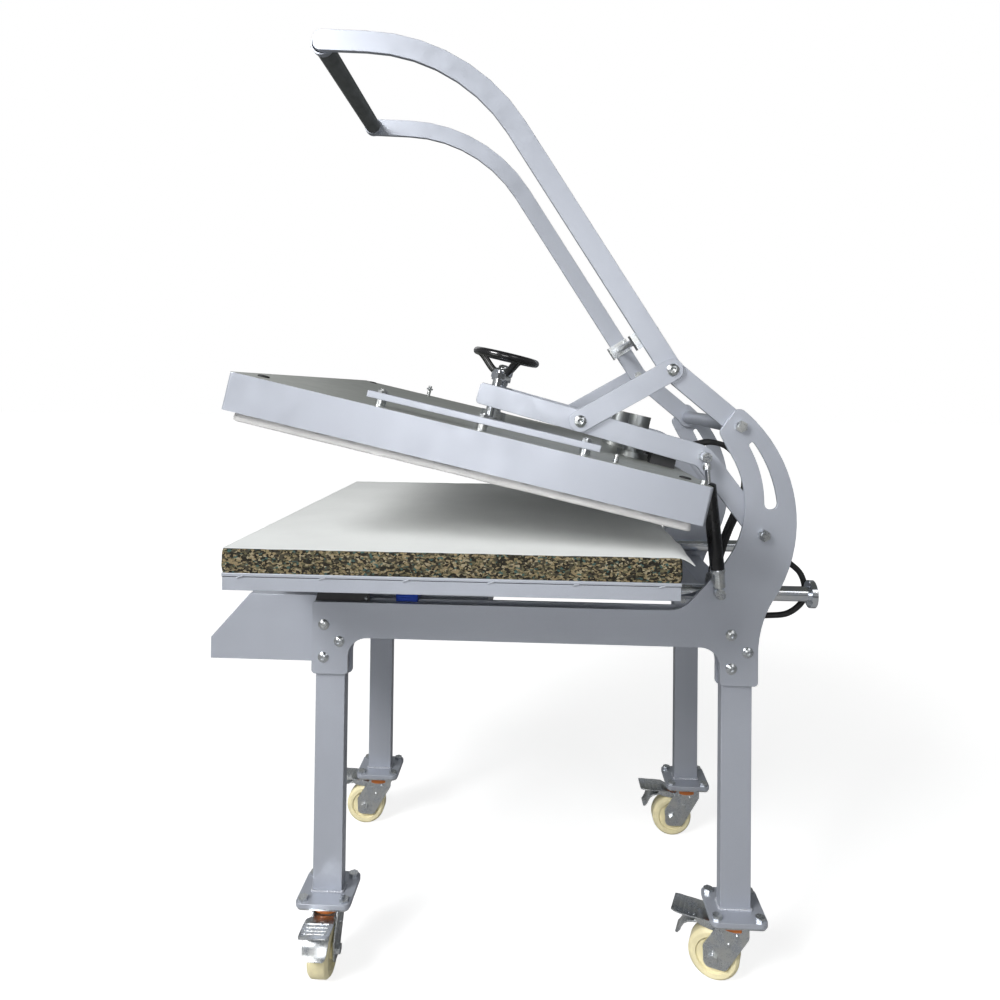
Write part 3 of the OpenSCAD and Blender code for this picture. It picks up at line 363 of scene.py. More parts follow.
def outward(obj: Object, join: float = 1e-7) -> Object:
    """Merges doubled corners and turns every face outwards.

    Args:
        obj: The object.
        join: Distance under which two corners merge, in metres.

    Returns:
        The object.
    """
    draft = bmesh.new()
    draft.from_mesh(obj.data)
    bmesh.ops.remove_doubles(draft, verts=draft.verts, dist=join)
    bmesh.ops.recalc_face_normals(draft, faces=draft.faces)
    draft.to_mesh(obj.data)
    draft.free()
    return obj


def walled(piece: Object, thickness: float, offset: float, finish: Material) -> Object:
    """Gives an open sheet its wall, its finish and its shading.

    Args:
        piece: The sheet.
        thickness: The wall's thickness in millimetres.
        offset: 0 for a wall on both sides of the sheet, 1 for one above it.
        finish: The sheet's material.

    Returns:
        The closed sheet.
    """
    wall = piece.modifiers.new("wall", "SOLIDIFY")
    wall.thickness = thickness * MM
    wall.offset = offset
    return shade(settle(dress(piece, finish)), 60)


def joined(name: str, parts: Sequence[Object]) -> Object:
    """One object that holds the meshes of several, which are removed.

    Args:
        name: Name of the joined piece.
        parts: The objects, each already in place.

    Returns:
        The joined object.
    """
    draft = bmesh.new()
    for part in parts:
        draft.from_mesh(part.data)
    obj = drafted(name, draft)
    for part in parts:
        bpy.data.objects.remove(part)
    return obj


def turned_shape(name: str, profile: Sequence[Point], place: Matrix, sides: int = 48) -> Object:
    """A turned piece about the place's Z axis.

    Args:
        name: Name of the piece.
        profile: Points of radius and height in millimetres, from one end to the other.
        place: Frame whose Z axis is the turning axis.
        sides: Points round the axis.

    Returns:
        The turned object, closed at both ends.
    """
    verts = []
    for radius, height in profile:
        for k in range(sides):
            a = math.tau * k / sides
            verts.append(place @ Vector((radius * MM * math.cos(a), radius * MM * math.sin(a),
                                         height * MM)))
    return shade(outward(mesh_piece(name, verts, capped_faces(len(profile), sides))))


def rounded_box(name: str, size: Point, place: Matrix, edge: float, steps: int = 3) -> Object:
    """A box with rounded edges.

    Args:
        name: Name of the piece.
        size: Width, depth and height in millimetres. The box stands on the place's origin.
        place: Frame of the box.
        edge: Radius of the edges in millimetres.
        steps: Steps round an edge.

    Returns:
        The object.
    """
    draft = bmesh.new()
    bmesh.ops.create_cube(draft, size=1.0)
    for v in draft.verts:
        v.co = Vector((v.co.x * size[0], v.co.y * size[1], (v.co.z + 0.5) * size[2])) * MM
    bmesh.ops.bevel(draft, geom=list(draft.edges), offset=edge * MM, segments=steps,
                    profile=0.5, affect="EDGES")
    draft.transform(place)
    return shade(drafted(name, draft), 50)


@dataclass(frozen=True)
class Easing:
    """How the copy of a node is finished: its eased edges and its second finish."""

    edge: float
    rule: Callable[[Vector], bool] | None = None
    only: Callable[[Vector], bool] | None = None
    angle: float = 50.0
    merge: float = 2e-5
    flat: float = 0.4

    def trimmed(self, spot: Vector) -> bool:
        """True where a face at this place takes the second finish."""
        return self.rule is not None and self.rule(from_stand(spot))

    def eases(self, edge: bmesh.types.BMEdge) -> bool:
        """True where an edge is sharp, carries the first finish and lies where edges are eased.

        Args:
            edge: An edge of the copy, before it is eased.

        Returns:
            Whether the edge is eased.
        """
        if len(edge.link_faces) != 2 or any(face.material_index for face in edge.link_faces):
            return False
        if edge.calc_face_angle() < math.radians(self.angle):
            return False
        middle = (edge.verts[0].co + edge.verts[1].co) / 2
        return self.only is None or self.only(from_stand(middle))

    def soften(self, node: str, finishes: Sequence[Material]) -> Object:
        """Makes the copy of a CAD node, which stands for the node.

        Args:
            node: Name of the CAD node.
            finishes: The node's finish and the second one.

        Returns:
            The copy, riding on the node's body.
        """
        source = frame["nodes"][node]
        draft = bmesh.new()
        draft.from_mesh(source.data)
        bmesh.ops.remove_doubles(draft, verts=draft.verts, dist=self.merge)
        for face in draft.faces:
            face.material_index = int(self.trimmed(face.calc_center_median()))
        bmesh.ops.dissolve_limit(draft, angle_limit=math.radians(self.flat), verts=draft.verts,
                                 edges=draft.edges, delimit={"MATERIAL"})
        sharp = [e for e in draft.edges if self.eases(e)]
        if sharp and self.edge > 0:
            bmesh.ops.bevel(draft, geom=sharp, offset=self.edge * MM, segments=2, profile=0.5,
                            affect="EDGES", clamp_overlap=False)
        obj = drafted(node + "_eased", draft)
        for finish in finishes:
            obj.data.materials.append(finish)
        weights = shade(obj, 40).modifiers.new("weights", "WEIGHTED_NORMAL")
        weights.mode = "FACE_AREA"
        weights.keep_sharp = True
        settle(obj)
        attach(obj, source["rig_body"])
        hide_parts(node)
        return obj


# Nodes


def add_node(tree: bpy.types.NodeTree, kind: str, values: dict | None = None,
             **settings: object) -> bpy.types.Node:
    """Adds a node to a tree.

    Args:
        tree: The tree.
        kind: The node's type name.
        values: What each input takes, by its name or number: a value, or a socket's link.
        **settings: Properties of the node.

    Returns:
        The node.
    """
    node = tree.nodes.new(kind)
    for key, value in settings.items():
        setattr(node, key, value)
    for key, value in (values or {}).items():
        if isinstance(value, Socket):
            tree.links.new(value, node.inputs[key])
        else:
            node.inputs[key].default_value = value
    return node


def wire(tree: bpy.types.NodeTree, *links: Link) -> None:
    """Joins an output of one node to an input of another, for each link."""
    for source, output, target, entry in links:
        tree.links.new(source.outputs[output], target.inputs[entry])


def colour_ramp(tree: bpy.types.NodeTree, value: Socket, stops: Sequence[tuple[float, Point]],
                stepped: bool = False) -> Socket:
    """Colours picked by a value.

    Args:
        tree: The tree that takes the node.
        value: The value, from 0 to 1.
        stops: Place and colour of each stop.
        stepped: True for colours with hard borders.

    Returns:
        The colour.
    """
    node = add_node(tree, "ShaderNodeValToRGB", {"Fac": value})
    bar = node.color_ramp
    bar.interpolation = "CONSTANT" if stepped else "LINEAR"
    while len(bar.elements) < len(stops):
        bar.elements.new(0.5)
    for element, (spot, colour) in zip(bar.elements, stops):
        element.position = spot
        element.color = (*colour, 1.0)
    return node.outputs["Color"]


@dataclass
class NodeWork:
    """A Geometry Nodes tree in the making, with named inputs and their kinds."""

    name: str
    kinds: dict[str, str]
    inputs: dict[str, str] = field(default_factory=dict)

    def __post_init__(self) -> None:
        """Makes the empty tree with its sockets."""
        self.tree = bpy.data.node_groups.new(self.name, "GeometryNodeTree")
        sockets = self.tree.interface
        for way in ("INPUT", "OUTPUT"):
            sockets.new_socket("Geometry", in_out=way, socket_type="NodeSocketGeometry")
        for name, kind in self.kinds.items():
            item = sockets.new_socket(name, in_out="INPUT", socket_type="NodeSocket" + kind)
            self.inputs[name] = item.identifier
        self.start = self.add("NodeGroupInput")
        self.end = self.add("NodeGroupOutput")

    def add(self, kind: str, values: dict | None = None, **settings: object) -> bpy.types.Node:
        """Adds a node, as add_node does."""
        return add_node(self.tree, kind, values, **settings)

    def apply(self, obj: Object, values: dict[str, object]) -> Object:
        """Runs the tree on an object and keeps the result as its plain mesh.

        Args:
            obj: The object whose mesh is the tree's input.
            values: Values of the named inputs.

        Returns:
            The object.
        """
        modifier = obj.modifiers.new(self.name, "NODES")
        modifier.node_group = self.tree
        for name, value in values.items():
            modifier[self.inputs[name]] = value
        return settle(obj)


def repeat_tree() -> NodeWork:
    """Tree that repeats a stamp at an even pitch along every path of a mesh.

    Returns:
        The tree, with the inputs Pitch, Wobble, Seed, Stamp and Finish.
    """
    work = NodeWork("repeat_along_path", {"Pitch": "Float", "Wobble": "Float", "Seed": "Int",
                                          "Stamp": "Object", "Finish": "Material"})
    start = work.start
    path = work.add("GeometryNodeMeshToCurve")
    sample = work.add("GeometryNodeResampleCurve", mode="LENGTH")
    tangent = work.add("GeometryNodeInputTangent")
    align = work.add("FunctionNodeAlignRotationToVector", axis="Z")
    stamp = work.add("GeometryNodeObjectInfo")
    place = work.add("GeometryNodeInstanceOnPoints")
    least = work.add("ShaderNodeMath", {0: 1.0}, operation="SUBTRACT")
    most = work.add("ShaderNodeMath", {0: 1.0}, operation="ADD")
    size = work.add("FunctionNodeRandomValue", data_type="FLOAT")
    real = work.add("GeometryNodeRealizeInstances")
    paint = work.add("GeometryNodeSetMaterial")
    live = {s.name: i for i, s in enumerate(size.inputs) if s.enabled}
    drawn = next(i for i, s in enumerate(size.outputs) if s.enabled)
    wire(work.tree,
         (start, "Geometry", path, "Mesh"), (path, "Curve", sample, "Curve"),
         (start, "Pitch", sample, "Length"), (sample, "Curve", place, "Points"),
         (start, "Stamp", stamp, "Object"), (stamp, "Geometry", place, "Instance"),
         (tangent, "Tangent", align, "Vector"), (align, "Rotation", place, "Rotation"),
         (start, "Wobble", least, 1), (start, "Wobble", most, 1),
         (least, 0, size, live["Min"]), (most, 0, size, live["Max"]),
         (start, "Seed", size, "Seed"), (size, drawn, place, "Scale"),
         (place, "Instances", real, "Geometry"), (real, "Geometry", paint, "Geometry"),
         (start, "Finish", paint, "Material"), (paint, "Geometry", work.end, "Geometry"))
    return work


def tube_tree() -> NodeWork:
    """Tree that makes a round tube along every path of a mesh.

    Returns:
        The tree, with the inputs Radius, Sides and Finish.
    """
    work = NodeWork("tube_along_path", {"Radius": "Float", "Sides": "Int", "Finish": "Material"})
    start = work.start
    path = work.add("GeometryNodeMeshToCurve")
    circle = work.add("GeometryNodeCurvePrimitiveCircle")
    tube = work.add("GeometryNodeCurveToMesh", {"Fill Caps": True})
    soft = work.add("GeometryNodeSetShadeSmooth")
    real = work.add("GeometryNodeRealizeInstances")
    paint = work.add("GeometryNodeSetMaterial")
    wire(work.tree,
         (start, "Geometry", path, "Mesh"), (start, "Radius", circle, "Radius"),
         (start, "Sides", circle, "Resolution"), (path, "Curve", tube, "Curve"),
         (circle, "Curve", tube, "Profile Curve"), (tube, "Mesh", soft, "Geometry"),
         (soft, "Geometry", real, "Geometry"), (real, "Geometry", paint, "Geometry"),
         (start, "Finish", paint, "Material"), (paint, "Geometry", work.end, "Geometry"))
    return work


def path_piece(name: str, runs: Sequence[Sequence[Point]], closed: bool = False) -> Object:
    """A mesh of edges only, for a tree that follows paths.

    Args:
        name: Name of the piece.
        runs: One list of points for each path, in metres.
        closed: True where each path ends at its own start.

    Returns:
        The object.
    """
    verts, edges = [], []
    for run in runs:
        base = len(verts)
        verts.extend(run)
        edges.extend((base + i, base + i + 1) for i in range(len(run) - 1))
        if closed:
            edges.append((base + len(run) - 1, base))
    return mesh_piece(name, verts, edges=edges)


@dataclass(frozen=True)
class Row:
    """A row of stamps along each path, with sizes in millimetres.

    Size is a stamp's radius across the path and length half its length along it. Wobble is the
    share by which its size strays. A closed row ends at its own start.
    """

    kind: Stamp
    size: float
    length: float
    pitch: float
    wobble: float = 0.0
    closed: bool = False
    ring_sides: int = 32
    ring_turns: int = 6
    ring_round: float = 0.08

    def stamp(self) -> Object:
        """The small shape round the origin with Z along the path, not shown by itself.

        Returns:
            The stamp's object, which isn't linked to the scene.
        """
        draft = bmesh.new()
        if self.kind is Stamp.BEAD:
            bmesh.ops.create_icosphere(draft, subdivisions=2, radius=1.0)
        elif self.kind is Stamp.RIB:
            bmesh.ops.create_cube(draft, size=2.0)
            bmesh.ops.bevel(draft, geom=list(draft.edges), offset=0.4, segments=2, profile=0.5,
                            affect="EDGES")
        else:
            self.ring(draft)
        for v in draft.verts:
            v.co = Vector((v.co.x * self.size, v.co.y * self.size, v.co.z * self.length)) * MM
        bmesh.ops.recalc_face_normals(draft, faces=draft.faces)
        mesh = bpy.data.meshes.new("stamp_" + self.kind.value)
        draft.to_mesh(mesh)
        draft.free()
        mesh.polygons.foreach_set("use_smooth", [True] * len(mesh.polygons))
        return bpy.data.objects.new(mesh.name, mesh)

    def ring(self, draft: bmesh.types.BMesh) -> None:
        """Adds a ring with a round section to a draft.

        Args:
            draft: The stamp's draft.
        """
        turns, rows = self.ring_turns, []
        for a in (math.tau * k / self.ring_sides for k in range(self.ring_sides)):
            row = []
            for b in (math.tau * j / turns for j in range(turns)):
                reach = 1.0 - self.ring_round + self.ring_round * math.cos(b)
                row.append(draft.verts.new((reach * math.cos(a), reach * math.sin(a), math.sin(b))))
            rows.append(row)
        for here, ahead in zip(rows, rows[1:] + rows[:1]):
            for j in range(turns):
                up = (j + 1) % turns
                draft.faces.new((here[j], ahead[j], ahead[up], here[up]))


# Finishes


class Coat:
    """A material in the making, with short calls for the nodes that the finishes share."""

    def __init__(self, name: str, **sockets: object) -> None:
        """Starts the material and sets the shader's own sockets.

        Args:
            name: Name of the material.
            **sockets: Shader values, with underscores for the spaces in their names.
        """
        self.material = bpy.data.materials.new(name)
        self.material.use_nodes = True
        self.tree = self.material.node_tree
        self.shader = next(n for n in self.tree.nodes if n.type == "BSDF_PRINCIPLED")
        self.place = self.add("ShaderNodeTexCoord").outputs["Object"]
        for key, value in sockets.items():
            self.shader.inputs[key.replace("_", " ")].default_value = value

    def add(self, kind: str, values: dict | None = None, **settings: object) -> bpy.types.Node:
        """Adds a node, as add_node does."""
        return add_node(self.tree, kind, values, **settings)

    def scaled(self, scale: Point) -> Socket:
        """Object coordinates stretched by a scale for each axis."""
        return self.add("ShaderNodeMapping", {"Scale": scale, "Vector": self.place}).outputs[0]

    def noise(self, scale: float, detail: float = 2.0, rough: float = 0.5,
              where: Socket | None = None) -> Socket:
        """Height of a noise pattern.

        Args:
            scale: Waves to the metre.
            detail: Octaves.
            rough: Weight of the finer octaves.
            where: Coordinates, or the object's own.

        Returns:
            The pattern's value.
        """
        return self.add("ShaderNodeTexNoise", {
            "Scale": scale, "Detail": detail, "Roughness": rough,
            "Vector": where or self.place}).outputs["Fac"]

    def ramp(self, value: Socket, stops: Sequence[tuple[float, Point]],
             stepped: bool = False) -> Socket:
        """Colours picked by a value, as colour_ramp does."""
        return colour_ramp(self.tree, value, stops, stepped)

    def shaded(self, colour: Socket, tone: Socket, share: float = 1.0) -> Socket:
        """A colour multiplied by a tone, as far as the share says."""
        return self.add("ShaderNodeMix", {0: share, 6: colour, 7: tone}, data_type="RGBA",
                        blend_type="MULTIPLY").outputs[2]

    def span(self, value: Socket, low: float, high: float, start: float = 0.3,
             end: float = 0.7) -> Socket:
        """A pattern's value carried over from one range to another.

        Args:
            value: The pattern.
            low: Least value of the new range.
            high: Greatest value of the new range.
            start: Least value of the old range.
            end: Greatest value of the old range.

        Returns:
            The new value.
        """
        return self.add("ShaderNodeMapRange", {
            "From Min": start, "From Max": end, "To Min": low, "To Max": high,
            "Value": value}).outputs["Result"]

    def product(self, a: Socket, b: Socket) -> Socket:
        """Two values multiplied."""
        return self.add("ShaderNodeMath", {0: a, 1: b}, operation="MULTIPLY").outputs[0]

    def bump(self, height: Socket, strength: float, depth: float) -> None:
        """Relief on the shader, stacked on any that is there.

        Args:
            height: Pattern of the relief.
            strength: Share of the relief that shows.
            depth: Depth in millimetres.
        """
        node = self.add("ShaderNodeBump", {"Strength": strength, "Distance": depth * MM,
                                           "Height": height})
        normal = self.shader.inputs["Normal"]
        if normal.is_linked:
            self.tree.links.new(normal.links[0].from_socket, node.inputs["Normal"])
        self.put(node.outputs["Normal"], "Normal")

    def put(self, value: Socket, socket: str) -> None:
        """Leads a pattern to one of the shader's sockets."""
        self.tree.links.new(value, self.shader.inputs[socket])


@dataclass(frozen=True)
class PowderCoat:
    """Metallic powder coat: fine flakes, a faint orange peel and slow drifts of tone."""

    name: str = "silver_powder_coat"
    colour: Colour = (0.47, 0.495, 0.555)
    metal: float = 0.45
    flake_scale: float = 2200.0

    def make(self) -> Material:
        """Builds the material.

        Returns:
            The finish's material.
        """
        coat = Coat(self.name, Metallic=self.metal, Coat_Weight=0.12, Coat_Roughness=0.3)
        dark = [c * 0.9 for c in self.colour]
        light = [min(1.0, c * 1.08) for c in self.colour]
        flakes = coat.ramp(coat.noise(self.flake_scale, 1.0), [(0.35, dark), (0.65, light)])
        drift = coat.ramp(coat.noise(2.2, 3.0), [(0.3, (0.94, 0.945, 0.95)), (0.7, WHITE)])
        coat.put(coat.shaded(flakes, drift), "Base Color")
        coat.put(coat.span(coat.noise(26.0, 3.0), 0.36, 0.47), "Roughness")
        coat.bump(coat.noise(420.0), 0.25, 0.12)
        coat.bump(coat.noise(60.0), 0.12, 0.3)
        return coat.material


@dataclass(frozen=True)
class PlatedSteel:
    """Bright zinc or nickel plate with streaks, small stains and a brushed grain."""

    name: str
    colour: Colour
    rough: Pair
    grain: Spot = (900.0, 900.0, 900.0)

    def make(self) -> Material:
        """Builds the material.

        Returns:
            The finish's material.
        """
        coat = Coat(self.name, Metallic=1.0)
        tint = [c * f for c, f in zip(self.colour, (0.9, 0.93, 1.0))]
        stain = coat.noise(45.0, 4.0, 0.6)
        coat.put(coat.ramp(stain, [(0.36, tint), (0.62, self.colour)]), "Base Color")
        grain = coat.noise(1.0, where=coat.scaled(self.grain))
        coat.put(coat.span(coat.product(grain, stain), *self.rough, 0.12, 0.42), "Roughness")
        coat.bump(grain, 0.3, 0.04)
        return coat.material


@dataclass(frozen=True)
class Moulding:
    """Moulded plastic, rubber or enamel with a fine grain."""

    name: str
    colour: Colour
    rough: Pair
    grain_scale: float = 900.0
    grain_depth: float = 0.05
    gloss: float = 0.0

    def make(self) -> Material:
        """Builds the material.

        Returns:
            The finish's material.
        """
        coat = Coat(self.name, Coat_Weight=self.gloss, Coat_Roughness=0.06)
        pale = [min(1.0, c * 1.25 + 0.004) for c in self.colour]
        tone = coat.ramp(coat.noise(30.0, 4.0, 0.6), [(0.35, self.colour), (0.7, pale)])
        coat.put(tone, "Base Color")
        coat.put(coat.span(coat.noise(55.0, 3.0), *self.rough), "Roughness")
        coat.bump(coat.noise(self.grain_scale), 0.35, self.grain_depth)
        return coat.material


@dataclass(frozen=True)
class Anodised:
    """Blue anodised aluminium with the cutter's marks along the block."""

    name: str = "blue_anodised"
    colour: Colour = (0.028, 0.07, 0.42)

    def make(self) -> Material:
        """Builds the material.

        Returns:
            The finish's material.
        """
        coat = Coat(self.name, Metallic=0.85)
        marks = coat.noise(1.0, where=coat.scaled((700.0, 40.0, 700.0)))
        deep = [c * 0.7 for c in self.colour]
        coat.put(coat.ramp(marks, [(0.35, deep), (0.7, self.colour)]), "Base Color")
        coat.put(coat.span(marks, 0.26, 0.4), "Roughness")
        coat.bump(marks, 0.3, 0.05)
        return coat.material


@dataclass(frozen=True)
class CrumbFoam:
    """Bonded crumb foam: torn black, tan, olive and teal crumbs a few millimetres long."""

    name: str = "crumb_foam"
    crumbs: float = 285.0
    stray: float = 0.009
    black: Colour = (0.03, 0.028, 0.022)
    soot: Colour = (0.075, 0.068, 0.05)
    olive: Colour = (0.16, 0.145, 0.085)
    tan: Colour = (0.34, 0.27, 0.155)
    straw: Colour = (0.44, 0.38, 0.25)
    teal: Colour = (0.07, 0.135, 0.125)

    def make(self) -> Material:
        """Builds the material.

        Returns:
            The finish's material.
        """
        coat = Coat(self.name, Roughness=0.95, Specular_IOR_Level=0.15)
        ripple = coat.add("ShaderNodeTexNoise", {"Scale": 130.0, "Vector": coat.place})
        warp = coat.add("ShaderNodeVectorMath", {
            0: ripple.outputs["Color"], 1: (self.stray,) * 3, 2: coat.scaled((0.72, 0.72, 1.25))},
            operation="MULTIPLY_ADD")
        cells = coat.add("ShaderNodeTexVoronoi", {"Scale": self.crumbs, "Vector": warp.outputs[0]})
        pick = coat.add("ShaderNodeSeparateColor", {"Color": cells.outputs["Color"]})
        chips = coat.ramp(pick.outputs["Red"], [
            (0.0, self.black), (0.25, self.soot), (0.45, self.olive), (0.6, self.tan),
            (0.80, self.straw), (0.89, self.teal), (0.94, self.black)], stepped=True)
        fleck = coat.ramp(coat.noise(1300.0, 3.0, 0.75), [(0.3, (0.5, 0.49, 0.47)), (0.7, WHITE)])
        drift = coat.ramp(coat.noise(30.0), [(0.35, (0.8, 0.8, 0.8)), (0.65, WHITE)])
        coat.put(coat.shaded(chips, coat.shaded(fleck, drift), 0.95), "Base Color")
        coat.bump(cells.outputs["Distance"], 0.8, 1.2)
        coat.bump(coat.noise(700.0, 3.0), 0.6, 0.4)
        return coat.material


@dataclass(frozen=True)
class WovenCloth:
    """Plain weave seen close, with slubs and slow soiling."""

    name: str
    colour: Colour
    threads: float = 350.0
    rough: float = 0.88
    gloss: float = 0.0

    def make(self) -> Material:
        """Builds the material.

        Returns:
            The finish's material.
        """
        coat = Coat(self.name, Roughness=self.rough, Sheen_Weight=0.25, Sheen_Roughness=0.5,
                    Coat_Weight=self.gloss, Coat_Roughness=0.35)
        warp, weft = (coat.add("ShaderNodeTexWave", {
            "Scale": self.threads, "Distortion": 0.6, "Detail Scale": 3.0, "Vector": coat.place},
            bands_direction=way).outputs["Fac"] for way in ("X", "Y"))
        weave = coat.product(warp, weft)
        dull = [c * 0.93 for c in self.colour]
        soil = coat.ramp(coat.noise(5.0, 4.0, 0.6), [(0.35, dull), (0.65, self.colour)])
        thread = coat.ramp(weave, [(0.0, (0.93, 0.93, 0.93)), (0.6, WHITE)])
        coat.put(coat.shaded(soil, thread), "Base Color")
        coat.bump(weave, 0.2, 0.05)
        coat.bump(coat.noise(24.0, 3.0), 0.3, 0.8)
        return coat.material


class Finish(Enum):
    """Every finish on the press."""

    PAINT = PowderCoat()
    # Darker, olive-grey copy of the silver paint: painted shade for the cover's top, which gets
    # less light than its sides
    SHADED_PAINT = PowderCoat("shaded_powder_coat", (0.35, 0.366, 0.338), 0.35)
    WELD = PowderCoat("painted_weld", (0.5, 0.52, 0.57), 0.5)
    ZINC = PlatedSteel("zinc_plate", (0.66, 0.67, 0.66), (0.2, 0.4))
    SATIN = PlatedSteel("satin_steel", (0.36, 0.37, 0.36), (0.38, 0.55), (900.0, 900.0, 60.0))
    CHROME = PlatedSteel("hard_chrome", (0.80, 0.81, 0.82), (0.08, 0.2), (60.0, 900.0, 60.0))
    HEATED_PLATE = PlatedSteel("heated_plate", (0.50, 0.48, 0.45), (0.35, 0.55),
                               (400.0, 30.0, 400.0))
    BLUE = Anodised()
    BLACK_PLASTIC = Moulding("black_plastic", (0.018, 0.018, 0.02), (0.42, 0.55))
    BLACK_GLOSS = Moulding("black_gloss", (0.01, 0.01, 0.011), (0.16, 0.26), 300.0, 0.05, 0.6)
    BLACK_PAINT = Moulding("black_enamel", (0.006, 0.006, 0.007), (0.22, 0.3), 500.0, 0.02, 0.1)
    RUBBER = Moulding("black_rubber", (0.014, 0.014, 0.015), (0.55, 0.7), 700.0, 0.12)
    GRIP = Moulding("grip_rubber", (0.11, 0.118, 0.118), (0.55, 0.68), 520.0, 0.25)
    GREY_PLASTIC = Moulding("grey_plastic", (0.3, 0.31, 0.33), (0.4, 0.52))
    KEY_PLASTIC = Moulding("key_plastic", (0.42, 0.43, 0.45), (0.4, 0.5))
    NYLON = Moulding("cream_nylon", (0.80, 0.72, 0.45), (0.34, 0.5), 260.0, 0.12, 0.15)
    AMBER = Moulding("amber_seal", (0.60, 0.17, 0.03), (0.35, 0.5), 500.0, 0.05, 0.2)
    GLASS = Moulding("display_window", (0.006, 0.012, 0.012), (0.05, 0.1), 100.0, 0.0, 1.0)
    FOAM = CrumbFoam()
    CLOTH = WovenCloth("white_cloth", (0.79, 0.81, 0.80))
    WRAP = WovenCloth("coated_glass_cloth", (0.80, 0.79, 0.78), 450.0, 0.5, 0.35)


class Palette:
    """Builds each finish once and hands out its material."""

    def __init__(self) -> None:
        """Starts with nothing built."""
        self.made: dict[Finish, Material] = {}

    def __getitem__(self, finish: Finish) -> Material:
        """The material of a finish.

        Args:
            finish: The finish.

        Returns:
            Its material, built on the first call.
        """
        if finish not in self.made:
            self.made[finish] = finish.value.make()
        return self.made[finish]


NODE_FINISH: dict[Finish, str] = {
    Finish.PAINT: "side_plate_near side_plate_far inner_rail_near inner_rail_far leg_front_near "
                  "leg_front_far leg_rear_near leg_rear_far front_cross_tube rear_cross_tube "
                  "control_box tray rod_saddles arm_near arm_far arm_cross_beam rear_post_plate "
                  "head_cover stiffener_bars handle_bar_near handle_bar_far torsion_tube "
                  "link_near link_far",
    Finish.ZINC: "frame_bolts pivot_bolts caster_plates head_studs handle_brace "
                 + " ".join(f"caster_fork_{i} caster_pedal_{i}" for i in CASTERS),
    Finish.CHROME: "slide_rods rod_end_caps guide_posts pressure_screw gas_rods",
    Finish.HEATED_PLATE: "heater_plate",
    Finish.BLUE: "slide_bearings",
    Finish.BLACK_PLASTIC: "controller rocker_switch terminal_box",
    Finish.BLACK_GLOSS: "handwheel",
    Finish.BLACK_PAINT: "gas_cylinders",
    Finish.RUBBER: "head_cable arm_cable loop_cable",
    Finish.GRIP: "handle_grip",
    Finish.GREY_PLASTIC: "cable_glands",
    Finish.NYLON: " ".join(f"caster_wheel_{i}" for i in CASTERS),
    Finish.FOAM: "pad",
    Finish.CLOTH: "cloth_sheet",
}


# Sub-assemblies


@dataclass
class Workshop:
    """What every sub-assembly needs: the finishes, the trees and the way to set a piece."""

    palette: Palette
    repeater: NodeWork
    tube: NodeWork

    def keep(self, piece: Object, body: str, slot: str, *replaced: str) -> Object:
        """Sets a finished piece on its body and reports it.

        Args:
            piece: The piece, in place.
            body: Body that carries it.
            slot: The record's material slot; not used.
            *replaced: CAD nodes that it stands for.

        Returns:
            The piece.
        """
        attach(piece, body)
        if replaced:
            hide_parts(*replaced)
        LOG.info("%s rides on %s, %d faces", piece.name, body, len(piece.data.polygons))
        return piece

    def assemble(self, name: str, parts: Sequence[Object], finish: Finish, body: str, slot: str,
                 *replaced: str) -> Object:
        """Joins parts into one piece, dresses it and keeps it.

        Args:
            name: Name of the piece.
            parts: The parts, in place.
            finish: The piece's finish.
            body: Body that carries it.
            slot: The record's material slot.
            *replaced: CAD nodes that it stands for.

        Returns:
            The piece.
        """
        return self.keep(dress(joined(name, parts), self.palette[finish]), body, slot, *replaced)

    def repeat(self, name: str, runs: Sequence[Sequence[Point]], row: Row,
               finish: Finish) -> Object:
        """Makes one piece of stamps along paths.

        Args:
            name: Name of the piece. Its length is the seed of the wobble.
            runs: The paths, in metres.
            row: The stamps and their spacing.
            finish: The piece's finish.

        Returns:
            The piece as a plain mesh.
        """
        stamp = row.stamp()
        piece = path_piece(name, runs, row.closed)
        self.repeater.apply(piece, {"Pitch": row.pitch * MM, "Wobble": row.wobble,
                                    "Seed": len(name), "Stamp": stamp,
                                    "Finish": self.palette[finish]})
        bpy.data.objects.remove(stamp)
        return piece

    def tubes(self, name: str, runs: Sequence[Sequence[Point]], radius: float, finish: Finish,
              closed: bool = False) -> Object:
        """Makes one piece of round tubes along paths, with the radius in millimetres."""
        return self.tube.apply(path_piece(name, runs, closed), {
            "Radius": radius * MM, "Sides": 20, "Finish": self.palette[finish]})


@dataclass(frozen=True)
class Lamp:
    """A soft square lamp: its place and aim in metres, its side, its watts and its beam."""

    name: str
    place: Spot
    aim: Spot
    size: float
    power: float
    spread: float = 180.0

    def stand(self) -> None:
        """Sets the lamp up."""
        data = bpy.data.lights.new(self.name, "AREA")
        data.size = self.size
        data.energy = self.power
        data.spread = math.radians(self.spread)
        obj = added(self.name, data)
        obj.location = self.place
        ahead = Vector(self.aim) - Vector(self.place)
        obj.rotation_euler = ahead.to_track_quat("-Z", "Y").to_euler()


